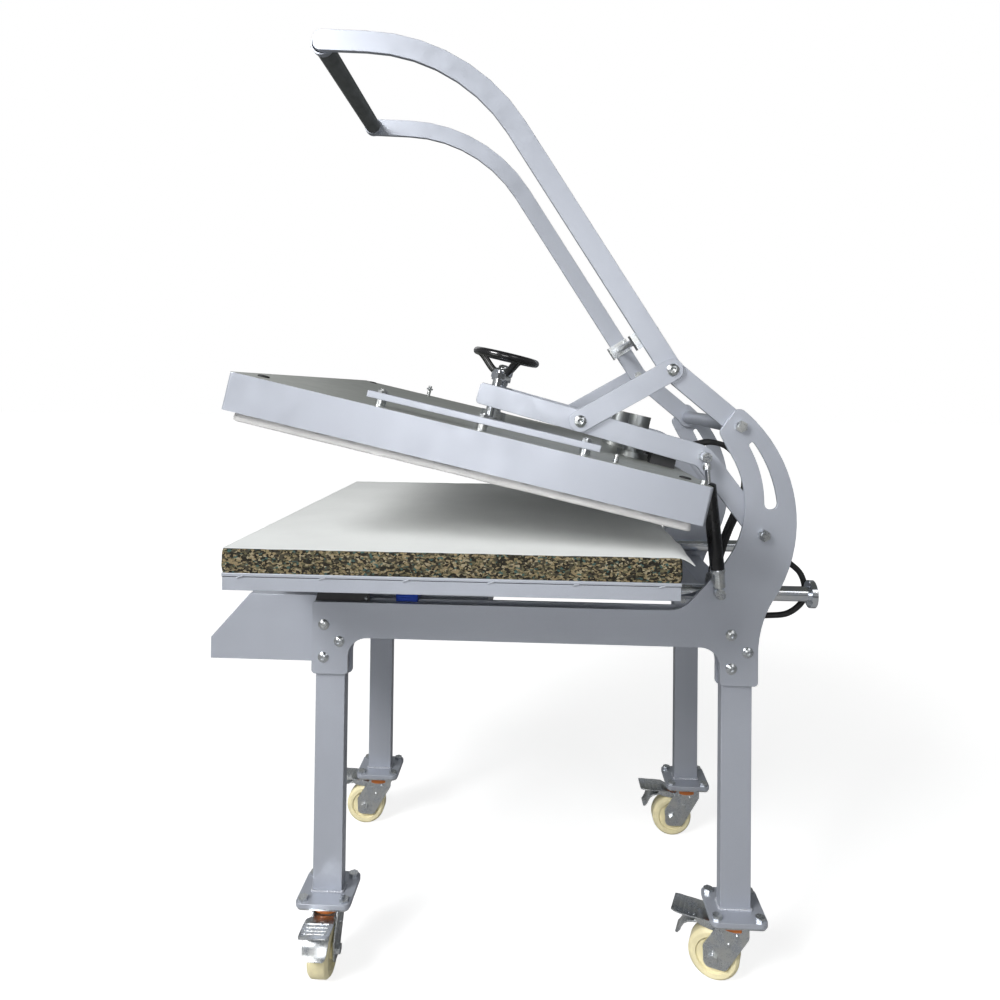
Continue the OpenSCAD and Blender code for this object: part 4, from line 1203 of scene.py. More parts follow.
@dataclass
class Studio:
    """Camera at the photograph's place, pale floor and soft light."""

    eye: Spot = (1.82439, 0.06129, 1.16528)
    yaw: float = 0.0508
    pitch: float = -0.0183
    roll: float = 0.0112
    focal_share: float = 0.7663843
    centre_share: float = 0.3772141
    sensor: float = 36.0
    sight: float = 60.0
    horizon: Colour = (0.31, 0.32, 0.33)
    zenith: Colour = (0.09, 0.094, 0.09)
    zenith_from: float = 0.75
    seen_white: float = 1.0
    lamps: tuple[Lamp, ...] = (
        Lamp("key", (3.6, -3.0, 3.8), (0.3, 0.0, 0.9), 2.0, 118.0, 112.0),
        Lamp("front", (3.4, -0.15, 1.3), (0.5, 0.0, 1.1), 1.3, 3.2, 64.0),
        Lamp("fill", (3.4, 2.8, 3.4), (0.2, 0.3, 1.0), 2.0, 24.0),
        Lamp("far_rim", (-2.6, -1.6, 2.9), (0.0, -0.1, 1.0), 1.6, 6.0))
    floor_half: float = 30.0
    floor_tone: Colour = (0.45, 0.45, 0.45)
    floor_fade: Pair = (0.9, 4.5)
    floor_near: float = 0.8
    floor_far: float = 1.0

    def camera(self) -> None:
        """Stands the camera where the photograph was taken."""
        ahead = Vector((-math.cos(self.yaw) * math.cos(self.pitch),
                        -math.sin(self.yaw) * math.cos(self.pitch), -math.sin(self.pitch)))
        level = Vector((-math.sin(self.yaw), math.cos(self.yaw), 0.0))
        up = level.cross(ahead)
        right = math.cos(self.roll) * level + math.sin(self.roll) * up
        over = -math.sin(self.roll) * level + math.cos(self.roll) * up
        data = bpy.data.cameras.new("photo_camera")
        data.sensor_width = self.sensor
        data.lens = self.focal_share * self.sensor
        data.shift_y = self.centre_share - 0.5
        data.clip_end = self.sight
        obj = added("photo_camera", data)
        turn = Matrix((right, over, -ahead)).transposed()
        obj.matrix_world = Matrix.Translation(self.eye) @ turn.to_4x4()
        bpy.context.scene.camera = obj

    def sky(self) -> None:
        """Sets a world that is white to the eye and dimmer as a light, with a darker zenith."""
        world = bpy.data.worlds.new("studio")
        world.use_nodes = True
        tree = world.node_tree
        light = tree.nodes["Background"]
        place = add_node(tree, "ShaderNodeTexCoord")
        split = add_node(tree, "ShaderNodeSeparateXYZ", {"Vector": place.outputs["Generated"]})
        tone = colour_ramp(tree, split.outputs["Z"],
                           [(0.0, self.horizon), (self.zenith_from, self.zenith)])
        tree.links.new(tone, light.inputs["Color"])
        white = add_node(tree, "ShaderNodeBackground",
                         {"Color": (*WHITE, 1.0), "Strength": self.seen_white})
        seen = add_node(tree, "ShaderNodeLightPath")
        mix = add_node(tree, "ShaderNodeMixShader")
        wire(tree, (seen, "Is Camera Ray", mix, 0), (light, 0, mix, 1), (white, 0, mix, 2),
             (mix, 0, tree.nodes["World Output"], "Surface"))
        bpy.context.scene.world = world

    def light(self) -> None:
        """Sets the world and the lamps."""
        self.sky()
        for lamp in self.lamps:
            lamp.stand()
        bpy.context.scene.view_settings.view_transform = "Standard"

    def floor(self) -> None:
        """Lays the plain pale floor, which fades into the white behind it."""
        half = self.floor_half
        ground = mesh_piece("floor", [(-half, -half, 0), (half, -half, 0), (half, half, 0),
                                      (-half, half, 0)], [(0, 1, 2, 3)])
        coat = Coat("pale_floor", Roughness=0.9, Specular_IOR_Level=0.2,
                    Base_Color=(*self.floor_tone, 1.0), Emission_Color=(*WHITE, 1.0))
        reach = coat.add("ShaderNodeVectorMath", {0: coat.place}, operation="LENGTH")
        glow = coat.span(reach.outputs["Value"], self.floor_near, self.floor_far, *self.floor_fade)
        seen = coat.add("ShaderNodeLightPath").outputs["Is Camera Ray"]
        coat.put(coat.product(glow, seen), "Emission Strength")
        dress(ground, coat.material)


@dataclass
class Cables:
    """The two cables from the head to the stand and the loop at the back."""

    shop: Workshop
    diameter: float = 12.0
    pair_x: Pair = (40.0, 68.0)
    pair_route: tuple[Pair, ...] = (
        (305.7, 1036), (335, 1035), (368, 1049), (404, 1055), (443, 1042), (472, 1006),
        (481, 964), (473, 925), (456, 887), (444, 860), (433, 830), (421, 792), (410, 770),
        (408, 757.5))
    loop_route: tuple[Spot, ...] = (
        (110, 420, 757.5), (110, 422, 772), (114, 438, 796), (124, 460, 816), (145, 492, 826),
        (175, 520, 824), (200, 538, 812), (205, 554, 795), (205, 562, 768), (203, 558, 738),
        (198, 530, 712), (190, 490, 704), (190, 438.5, 702))

    def run(self, name: str, route: Sequence[Point]) -> tuple[Object, list[Vector]]:
        """One cable along a route given in millimetres from the stand's middle."""
        line = smooth_route([at_frame(*p) for p in route], 6)
        return outward(self.shop.tubes(name, [line], self.diameter / 2, Finish.RUBBER)), line

    def declare(self, piece: Object, line: Sequence[Vector]) -> None:
        """Logs how long the cable is.

        Args:
            piece: The cable.
            line: Its middle line in metres, from the exit on.
        """
        tuple(line[0])
        route_length(line)
        self.diameter * MM
        LOG.info("%s is %.3f m long", piece.name, route_length(line))

    def build(self) -> None:
        """Makes the three cables."""
        for number, (x, node) in enumerate(zip(self.pair_x, ("arm_cable", "head_cable")), 1):
            piece, line = self.run(f"head_cable_run_{number}", [(x, *p) for p in self.pair_route])
            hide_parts(node)
            at_frame(x, 430, 800)
            at_frame(x, 480, 964)
            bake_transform(piece)
            self.declare(piece, line)
        piece, line = self.run("loop_cable_run", self.loop_route)
        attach(piece, "stand")
        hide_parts("loop_cable")
        self.declare(piece, line)

    def boots(self) -> None:
        """Makes the tapered boots where the pair leaves the terminal box."""
        profile = [(11.5, -3), (11.5, 3), (10.8, 4)]
        for k in range(5):
            wide, z = 10.4 - 0.6 * k, 7 + 4.5 * k
            profile += [(wide, z), (wide - 1, z + 1), (wide - 1, z + 2.6)]
        profile += [(6.6, 31)]
        lean = Vector((0, 1, -0.02)).to_track_quat("Z", "Y").to_matrix().to_4x4()
        parts = [turned_shape("boot", profile, stand_at(x, 301, 1036) @ lean, 28)
                 for x in self.pair_x]
        piece = dress(joined("cable_boots", parts), self.shop.palette[Finish.RUBBER])
        at_frame(0, 330, 1036)
        at_frame(0, 303, 1036)
        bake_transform(piece)
        LOG.info("%s stretch from the arms to the head", piece.name)


@dataclass
class Stand:
    """Weld beads, swivel seals, cable glands and the face of the controls."""

    shop: Workshop
    leg_half: Pair = (16.0, 31.0)
    foot_top: float = 147.8
    weld: Row = Row(Stamp.BEAD, 3.4, 2.4, 2.3, wobble=0.16, closed=True)
    seal_z: float = 124.5
    panel_x: float = 90.0
    panel_size: Pair = (150.0, 78.0)
    window: Pair = (86.0, 32.0)
    window_at: Pair = (-20.0, 14.0)
    rim: float = 2.6
    key: Spot = (15.0, 9.0, 2.2)
    key_xs: tuple[float, ...] = (-56.0, -32.0, -8.0, 16.0)
    key_y: float = -22.0
    screw_inset: float = 5.0
    guard_screw: Spot = (270.8, -336.5, 740.5)
    gland_spots: tuple[Pair, ...] = ((40, 408), (68, 408), (110, 420))
    gland_z: float = 734.0
    dome_radius: float = 10.8
    gland_rib: Row = Row(Stamp.RIB, 0.7, 1.3, 2.2)

    def corners(self) -> list[Pair]:
        """Middles of the four legs."""
        return [(sx * LEG_X, sy * LEG_Y) for sx in (1, -1) for sy in (-1, 1)]

    def foot_welds(self) -> None:
        """Runs a bead round each leg where it meets its foot plate."""
        w, d = self.leg_half
        runs = [[at_frame(x, y, self.foot_top)
                 for x, y, *_ in rounded_rim((cx - w, cy - d), (cx + w, cy + d), 3.0, 4)]
                for cx, cy in self.corners()]
        piece = self.shop.repeat("foot_welds", runs, self.weld, Finish.WELD)
        self.shop.keep(piece, "stand", "silver_paint")

    def swivel_seals(self) -> None:
        """Turns the amber dust seals between the foot plates and the forks."""
        profile = [(20, 7.4), (31.4, 7.4), (32.2, 6.4), (32.2, 3.4), (31.2, 2.4), (31.2, 1.4),
                   (32.0, 0.9), (31.8, -0.6), (30.6, -1.2), (20, -1.2)]
        parts = [turned_shape("seal", profile, stand_at(cx, cy, self.seal_z))
                 for cx, cy in self.corners()]
        self.shop.assemble("swivel_seals", parts, Finish.AMBER, "stand", "cream_nylon")

    def control_face(self) -> None:
        """Adds the window, its rim, the keys and the screws of the control panel."""
        shop, seat = self.shop, SLOPE_SEAT.matrix() @ shift(self.panel_x, 0, 5)
        (wide, high), (x, y) = self.window, self.window_at
        glass = rounded_box("display_window", (wide, high, 1.2), seat @ shift(x, y), 0.5)
        shop.keep(dress(glass, shop.palette[Finish.GLASS]), "stand", "black_gloss")
        rims = [rounded_box("rim", (wide + 6, self.rim, 1.8),
                            seat @ shift(x, y + s * (high / 2 + 1.6)), 0.7) for s in (1, -1)]
        rims += [rounded_box("rim", (self.rim, high + 5.8, 1.8),
                             seat @ shift(x + s * (wide / 2 + 1.7), y), 0.7) for s in (1, -1)]
        shop.assemble("display_rim", rims, Finish.GREY_PLASTIC, "stand", "grey_plastic")
        keys = [rounded_box("key", self.key, seat @ shift(key_x, self.key_y), 1.6)
                for key_x in self.key_xs]
        shop.assemble("control_keys", keys, Finish.KEY_PLASTIC, "stand", "grey_plastic")
        head = [(0.4, 0), (3.0, 0), (3.0, 0.9), (2.3, 1.7), (0.9, 2.0), (0.8, 1.2), (0.2, 1.2)]
        reach_x, reach_y = (side / 2 - self.screw_inset for side in self.panel_size)
        heads = [turned_shape("screw", head, seat @ shift(sx * reach_x, sy * reach_y, -0.2), 24)
                 for sx in (1, -1) for sy in (1, -1)]
        shop.assemble("panel_screws", heads, Finish.ZINC, "stand", "zinc_steel")

    def guard_screws(self) -> None:
        """Sets the small screw at the rear corner of each bearing guard."""
        head = [(0.3, 0), (3.4, 0), (3.4, 0.8), (2.6, 1.8), (1.1, 2.3), (1.0, 1.3), (0.2, 1.3)]
        x, y, z = self.guard_screw
        parts = [turned_shape("screw", head, stand_at(side.value * x, y, z) @ side.facing(), 24)
                 for side in Side]
        self.shop.assemble("guard_screws", parts, Finish.ZINC, "stand", "zinc_steel")

    def glands(self) -> None:
        """Turns the cable glands: a hexagon foot, a ribbed dome nut and a seal lip."""
        foot = [(0.5, 0), (13.4, 0), (14.0, 0.6), (14.0, 7.4), (13.2, 8.2), (0.5, 8.2)]
        dome = [(0.5, 8.2), (10.6, 8.2), (self.dome_radius, 9), (self.dome_radius, 16), (10.0, 19),
                (8.2, 21.4), (7.0, 22.2), (6.6, 22.6), (0.5, 22.6)]
        parts, ribs, count = [], [], 14
        for x, y in self.gland_spots:
            place = stand_at(x, y, self.gland_z)
            parts += [turned_shape("hex", foot, place, 6), turned_shape("dome", dome, place, 36)]
            for a in (math.tau * k / count for k in range(count)):
                out_x, out_y = self.dome_radius * math.cos(a), self.dome_radius * math.sin(a)
                ribs.append([at_frame(x + out_x, y + out_y, self.gland_z + z)
                             for z in (9.6, 12, 14.4, 16.4)])
        grips = self.shop.repeat("gland_ribs", ribs, self.gland_rib, Finish.GREY_PLASTIC)
        self.shop.assemble("gland_nuts", [*parts, grips], Finish.GREY_PLASTIC, "stand",
                           "grey_plastic", "cable_glands")

    def build(self) -> None:
        """Makes all of the stand's added pieces."""
        self.foot_welds()
        self.swivel_seals()
        self.control_face()
        self.guard_screws()
        self.glands()


@dataclass
class Tray:
    """The crumb foam pad, its cloth and the stitch welds of the tray."""

    shop: Workshop
    width: float = 1000.0
    front: float = -543.0
    rear: float = 257.0
    top: float = 841.5
    plate: float = 6.0
    pad_height: float = 42.0
    pad_rows: int = 7
    pad_corner: float = 6.0
    pad_bulge: float = 1.7
    pad_tuck: float = 0.6
    pad_tear: float = 0.9
    pad_grain: float = 7.0
    cell: float = 6.0
    cloth_over: float = 22.0
    cloth_drop: float = 12.5
    cloth_ripple: float = 90.0
    cloth_waves: tuple[Spot, ...] = ((1.6, 47.0, 0.0), (1.1, 19.0, 1.3))
    cloth_wall: float = 0.9
    cloth_cells: tuple[int, int] = (110, 100)
    stitch: Row = Row(Stamp.BEAD, 1.5, 1.3, 1.2, wobble=0.2)
    stitch_pitch: float = 147.0
    stitch_from: float = -73.0
    stitch_half: float = 5.0

    def pad(self) -> None:
        """Builds the foam block with torn sides and a slightly rounded rim."""
        half, rows = self.width / 2, self.pad_rows
        rim = rounded_rim((-half, self.front), (half, self.rear), self.pad_corner, 5)
        loop = spread(rim, self.cell)
        height = self.pad_height - 0.4
        verts = []
        for j in range(rows + 1):
            t = j / rows
            inner = 0 < j < rows
            bulge = self.pad_bulge * math.sin(math.pi * t) ** 0.5 if inner else -self.pad_tuck
            for x, y, nx, ny in loop:
                grain = noise.noise(Vector((x, y, t * height)) / self.pad_grain) if inner else 0.0
                size, out = math.hypot(nx, ny) or 1.0, grain * self.pad_tear + bulge
                verts.append(at_frame(x + nx / size * out, y + ny / size * out,
                                      self.top + 0.2 + t * height))
        piece = shade(mesh_piece("crumb_pad", verts, capped_faces(rows + 1, len(loop))), 50)
        self.shop.keep(dress(piece, self.shop.palette[Finish.FOAM]), "tray_slide", "foam", "pad")

    def droop(self, x: float, y: float) -> float:
        """Height of the cloth over the pad's top, in millimetres.

        Args:
            x: Distance towards the near side.
            y: Distance towards the back.

        Returns:
            The height, below zero where the cloth hangs over the rear edge.
        """
        near = x / (self.width / 2)
        past = y - self.rear
        place = Vector((x / self.cloth_ripple, y / self.cloth_ripple, 4.0))
        ripple = 0.5 * noise.noise(place) + 0.35
        if past <= -30:
            return 0.55 + ripple * 0.8
        fall = (max(0.0, past + 6) / (self.cloth_over + 6)) ** 1.6 * self.cloth_drop
        corner = max(0.0, near - 0.72) / 0.28
        wave = sum(high * math.sin(x / long + start) for high, long, start in self.cloth_waves)
        edge = max(0.0, past) / self.cloth_over
        return 0.6 + ripple * 0.8 - fall * (0.62 + 0.38 * corner) + wave * edge

    def cloth_point(self, x: float, y: float, half: float) -> Vector:
        """Place of a point of the cloth, which strays a little along its two side edges.

        Args:
            x: Distance towards the near side.
            y: Distance towards the back.
            half: Half of the cloth's width.

        Returns:
            The point in the row frame.
        """
        edge = max(0.0, abs(x) / half - 0.985) / 0.015
        stray = edge * 1.6 * noise.noise(Vector((y / 38, x, 0.0)))
        lift = self.droop(x, y) - edge * 0.5 * (0.5 + noise.noise(Vector((y / 25, 7.0, x))))
        return at_frame(x - math.copysign(abs(stray), x), y, self.top + self.pad_height + lift)

    def cloth(self) -> None:
        """Builds the cloth that lies on the pad and hangs a little over its rear edge."""
        across, along = self.cloth_cells
        half = self.width / 2 - 0.6
        xs = [-half + 2 * half * i / across for i in range(across + 1)]
        span = self.rear + self.cloth_over - self.front - 0.8
        ys = [self.front + 0.8 + span * j / along for j in range(along + 1)]
        verts = [self.cloth_point(x, y, half) for y in ys for x in xs]
        row = len(xs)
        faces = [(a, a + 1, a + row + 1, a + row)
                 for a in (j * row + i for j in range(along) for i in range(across))]
        piece = walled(mesh_piece("cover_cloth", verts, faces), self.cloth_wall, 1.0,
                       self.shop.palette[Finish.CLOTH])
        self.shop.keep(piece, "tray_slide", "white_cloth", "cloth_sheet")

    def stitch_welds(self) -> None:
        """Lays the short beads that hold the top plate to its skirt."""
        z, runs, out = self.top - 6.2, [], 0.4
        middle = (self.front + self.rear) / 2
        steps = [(t * self.stitch_half, z + t * 1.6) for t in (-1, 0, 1)]
        for s in (1, -1):
            for k in range(-2, 4):
                y = middle + self.stitch_from + k * self.stitch_pitch
                if self.front + 20 < y < self.rear - 20:
                    runs.append([at_frame(s * (self.width / 2 + out), y + t, h) for t, h in steps])
            end = self.rear + out if s > 0 else self.front - out
            for k in range(-3, 4):
                runs.append([at_frame(k * self.stitch_pitch + t, end, h) for t, h in steps])
        piece = self.shop.repeat("tray_stitch_welds", runs, self.stitch, Finish.WELD)
        self.shop.keep(piece, "tray_slide", "silver_paint")

    def painted_shadow_gap(self) -> None:
        """Runs a thin black strip round the joint of the top plate and the folded skirt: painted
        shadow of the gap.
        """
        half, under = self.width / 2 - 0.75, self.top - self.plate
        rear, front = self.rear - 0.75, self.front + 0.75
        verts = [at_frame(x, y, z) for z in (under - 1.0, under + 0.02)
                 for x, y in ((half, rear), (-half, rear), (-half, front), (half, front))]
        piece = outward(mesh_piece("tray_seam", verts, capped_faces(2, 4)))
        # The black enamel strip is painted shadow in the joint, not a part of the tray
        dress(piece, self.shop.palette[Finish.BLACK_PAINT])
        self.shop.keep(piece, "tray_slide", "black_paint")

    def build(self) -> None:
        """Makes all of the tray's added pieces."""
        self.pad()
        self.cloth()
        self.painted_shadow_gap()
        self.stitch_welds()


@dataclass
class Head:
    """The wrap of the heated plate, the bushings, the stud threads and the box lids.

    Slack, fold and crease each give how far the wrap strays, and over what length.
    """

    shop: Workshop
    cover: float = 67.0
    drop: float = 15.0
    wrap_section: tuple[Pair, ...] = (
        (-16.0, 0.0), (6.0, 0.0), (8.4, 0.07), (9.2, 0.3), (8.8, 0.6), (8.0, 0.92), (3.4, 1.0))
    wrap_cell: float = 6.0
    wrap_wall: float = 0.3
    slack: Pair = (1.5, 95.0)
    fold: Pair = (1.5, 31.0)
    crease: Pair = (1.8, 13.0)
    bushing: Pair = (459.0, 388.0)
    stud_x: float = 480.0
    stud_ys: tuple[float, float, float] = (-164.8, 20.0, 204.8)
    far_stud_y: float = -219.0
    rear_stud: Pair = (470.0, 262.0)
    thread: Row = Row(Stamp.RING, 5.35, 0.65, 1.5)
    boxes: tuple[tuple[float, ...], ...] = ((235, 380, 36, 50, 28), (55, 392, 90, 52, 42))

    def wrap(self) -> None:
        """Builds the coated glass cloth folded up round the heated plate's edge."""
        low, high = -(self.cover + self.drop) - 1.4, -self.cover + 0.4
        half_w, half_d, last = HEAD_WIDTH / 2, HEAD_DEPTH / 2, len(self.wrap_section) - 1
        rim = spread(rounded_rim((-half_w, -half_d), (half_w, half_d), 3.0, 4), self.wrap_cell)
        verts = []
        for j, (out, t) in enumerate(self.wrap_section):
            for x, y, nx, ny in rim:
                run, fine = x * 0.9 + y * 1.1, self.fold[1]
                slack = noise.noise(Vector((run / self.slack[1], 3.0, t * 0.5)))
                fold = noise.noise(Vector((x / fine + t * 0.9, y / fine, t * 1.5)))
                crease = abs(noise.noise(Vector((run / self.crease[1] + 2.2 * t, 9.0, t * 0.6))))
                reach, z = out, low + (high - low) * t
                if j:
                    reach = max(0.5, out + self.slack[0] * slack + self.fold[0] * fold
                                - self.crease[0] * crease)
                if 0 < j < last:
                    z += 0.9 * slack - 0.5 * crease
                verts.append(HEAD_SEAT.at(x + nx * reach, y + ny * reach, z))
        faces = [*ring_faces(last + 1, len(rim)), tuple(range(len(rim) - 1, -1, -1))]
        piece = walled(outward(mesh_piece("platen_wrap", verts, faces)), self.wrap_wall, 0.0,
                       self.shop.palette[Finish.WRAP])
        self.shop.keep(piece, "head", "white_cloth")

    def bushings(self) -> None:
        """Turns the black bushings in the corners of the cover's top."""
        profile = [(2.2, -2.5), (6.6, -2.5), (6.9, 0), (10.5, 0), (11.0, 0.8), (10.4, 2.2),
                   (8.0, 3.0), (4.0, 3.0), (2.6, 2.2), (2.2, 1.0)]
        x, y = self.bushing
        parts = [turned_shape("bushing", profile, HEAD_SEAT.matrix() @ shift(sx * x, sy * y), 32)
                 for sx in (1, -1) for sy in (1, -1)]
        self.shop.assemble("cover_bushings", parts, Finish.RUBBER, "head", "black_rubber")

    def threads(self) -> None:
        """Cuts the look of a thread on the free end of each stud."""
        studs = [(self.stud_x, y, (26.6, 28, 29.6)) for y in self.stud_ys]
        studs += [(-self.stud_x, self.far_stud_y, ends)
                  for ends in ((23.8, 26, 29.4), (1, 9, 17.4))]
        x, y = self.rear_stud
        studs += [(s * x, y, (1.5, 8, 13)) for s in (1, -1)]
        runs = [[HEAD_SEAT.at(x, y, z) for z in ends] for x, y, ends in studs]
        piece = self.shop.repeat("stud_threads", runs, self.thread, Finish.ZINC)
        self.shop.keep(piece, "head", "zinc_steel")

    def box_screws(self) -> None:
        """Adds the lids and their screws on the two terminal boxes."""
        profile = [(0.4, 0), (3.2, 0), (3.2, 0.8), (2.4, 1.7), (0.9, 2.0), (0.8, 1.2), (0.2, 1.2)]
        lids, heads = [], []
        for x, y, w, d, h in self.boxes:
            seat = HEAD_SEAT.matrix() @ shift(x, y, h - 0.2)
            lids.append(rounded_box("lid", (w + 2, d + 2, 3.2), seat, 1.2))
            heads += [turned_shape("head", profile,
                                   seat @ shift(sx * (w / 2 - 6), sy * (d / 2 - 6), 3.1), 24)
                      for sx in (1, -1) for sy in (1, -1)]
        self.shop.assemble("box_lids", lids, Finish.BLACK_PLASTIC, "head", "black_plastic")
        self.shop.assemble("box_screws", heads, Finish.ZINC, "head", "zinc_steel")

    def build(self) -> None:
        """Makes all of the head's added pieces."""
        self.wrap()
        self.bushings()
        self.threads()
        self.box_screws()


@dataclass
class PressureScrew:
    """The handwheel with its dished spokes, and the thread of the screw."""

    shop: Workshop
    rim_radius: float = 71.0
    rim_size: float = 9.0
    rim_height: float = 151.0
    rim_points: int = 96
    spoke_size: float = 8.2
    spoke_from: float = 12.0
    spoke_steps: int = 12
    hub_low: float = 92.0
    axis_y: float = 9.0
    coil: Row = Row(Stamp.RING, 16.6, 2.0, 5.0)

    def place(self) -> Matrix:
        """The screw's own frame, with Z along it."""
        return HEAD_SEAT.matrix() @ shift(0, self.axis_y)

    def at(self, radius: float, angle: float, height: float) -> Vector:
        """Place in the row frame of a point about the screw, in millimetres and radians."""
        spot = Vector((radius * math.cos(angle), radius * math.sin(angle), height)) * MM
        return self.place() @ spot

    def spoke(self, angle: float) -> list[Vector]:
        """Centreline of one spoke, from inside the hub up to the rim.

        Args:
            angle: Where it stands round the screw, in radians.

        Returns:
            The line's points.
        """
        line, start = [], self.hub_low + 20
        for k in range(self.spoke_steps + 1):
            t = k / self.spoke_steps
            line.append(self.at(self.spoke_from + (self.rim_radius - self.spoke_from) * t, angle,
                                start + (self.rim_height - start) * (t * t * (3 - 2 * t))))
        return line

    def wheel(self) -> None:
        """Builds the rim, the spokes and the hub."""
        rim = [self.at(self.rim_radius, math.tau * k / self.rim_points, self.rim_height)
               for k in range(self.rim_points)]
        spokes = [self.spoke(math.radians(30 + 120 * k)) for k in range(3)]
        gloss = self.shop.palette[Finish.BLACK_GLOSS]
        parts = [self.shop.tubes("rim", [rim], self.rim_size, Finish.BLACK_GLOSS, closed=True),
                 self.shop.tubes("spokes", spokes, self.spoke_size, Finish.BLACK_GLOSS)]
        wheel = shade(dress(joined("handwheel_rim", parts), gloss), 60)
        self.shop.keep(wheel, "screw", "black_gloss", "handwheel")
        profile = [(15.3, 0), (21.5, 0), (23, 1.5), (23, 11), (21.6, 13), (24.4, 15.5), (24.4, 26),
                   (21.6, 29.6), (13.2, 30.6), (13.2, 31), (13.0, 31.6), (12.2, 36), (9.0, 39.2),
                   (4.0, 40), (0.4, 40)]
        profile = [(radius, self.hub_low + z) for radius, z in profile]
        hub = turned_shape("handwheel_hub", profile, self.place())
        self.shop.keep(dress(hub, self.shop.palette[Finish.CHROME]), "screw", "chrome")

    def thread(self) -> None:
        """Winds the rounded thread of the screw between the cover and the hub."""
        runs = [[self.at(0, 0, z) for z in (low, (low + high) / 2, high)]
                for low, high in ((22.0, 38.5), (81.5, 83.5))]
        piece = self.shop.repeat("screw_thread", runs, self.coil, Finish.CHROME)
        self.shop.keep(piece, "screw", "chrome")

    def build(self) -> None:
        """Makes the handwheel and the thread."""
        self.wheel()
        self.thread()


@dataclass
class Handle:
    """Painted collars at the ends of the grip."""

    shop: Workshop
    grip: Pair = (-451.0, 1888.0)
    radius: float = 20.0
    inside: float = 241.5

    def build(self) -> None:
        """Makes the collars."""
        profile = [(self.radius + out, z) for out, z in (
            (-1, -2), (1.6, -2), (2.4, -1), (2.4, 13), (3.4, 14.4), (3.4, 16), (-1, 16))]
        parts = [turned_shape("collar", profile,
                              stand_at(side.value * self.inside, *self.grip) @ side.facing())
                 for side in Side]
        self.shop.assemble("grip_collars", parts, Finish.PAINT, "handle", "silver_paint")


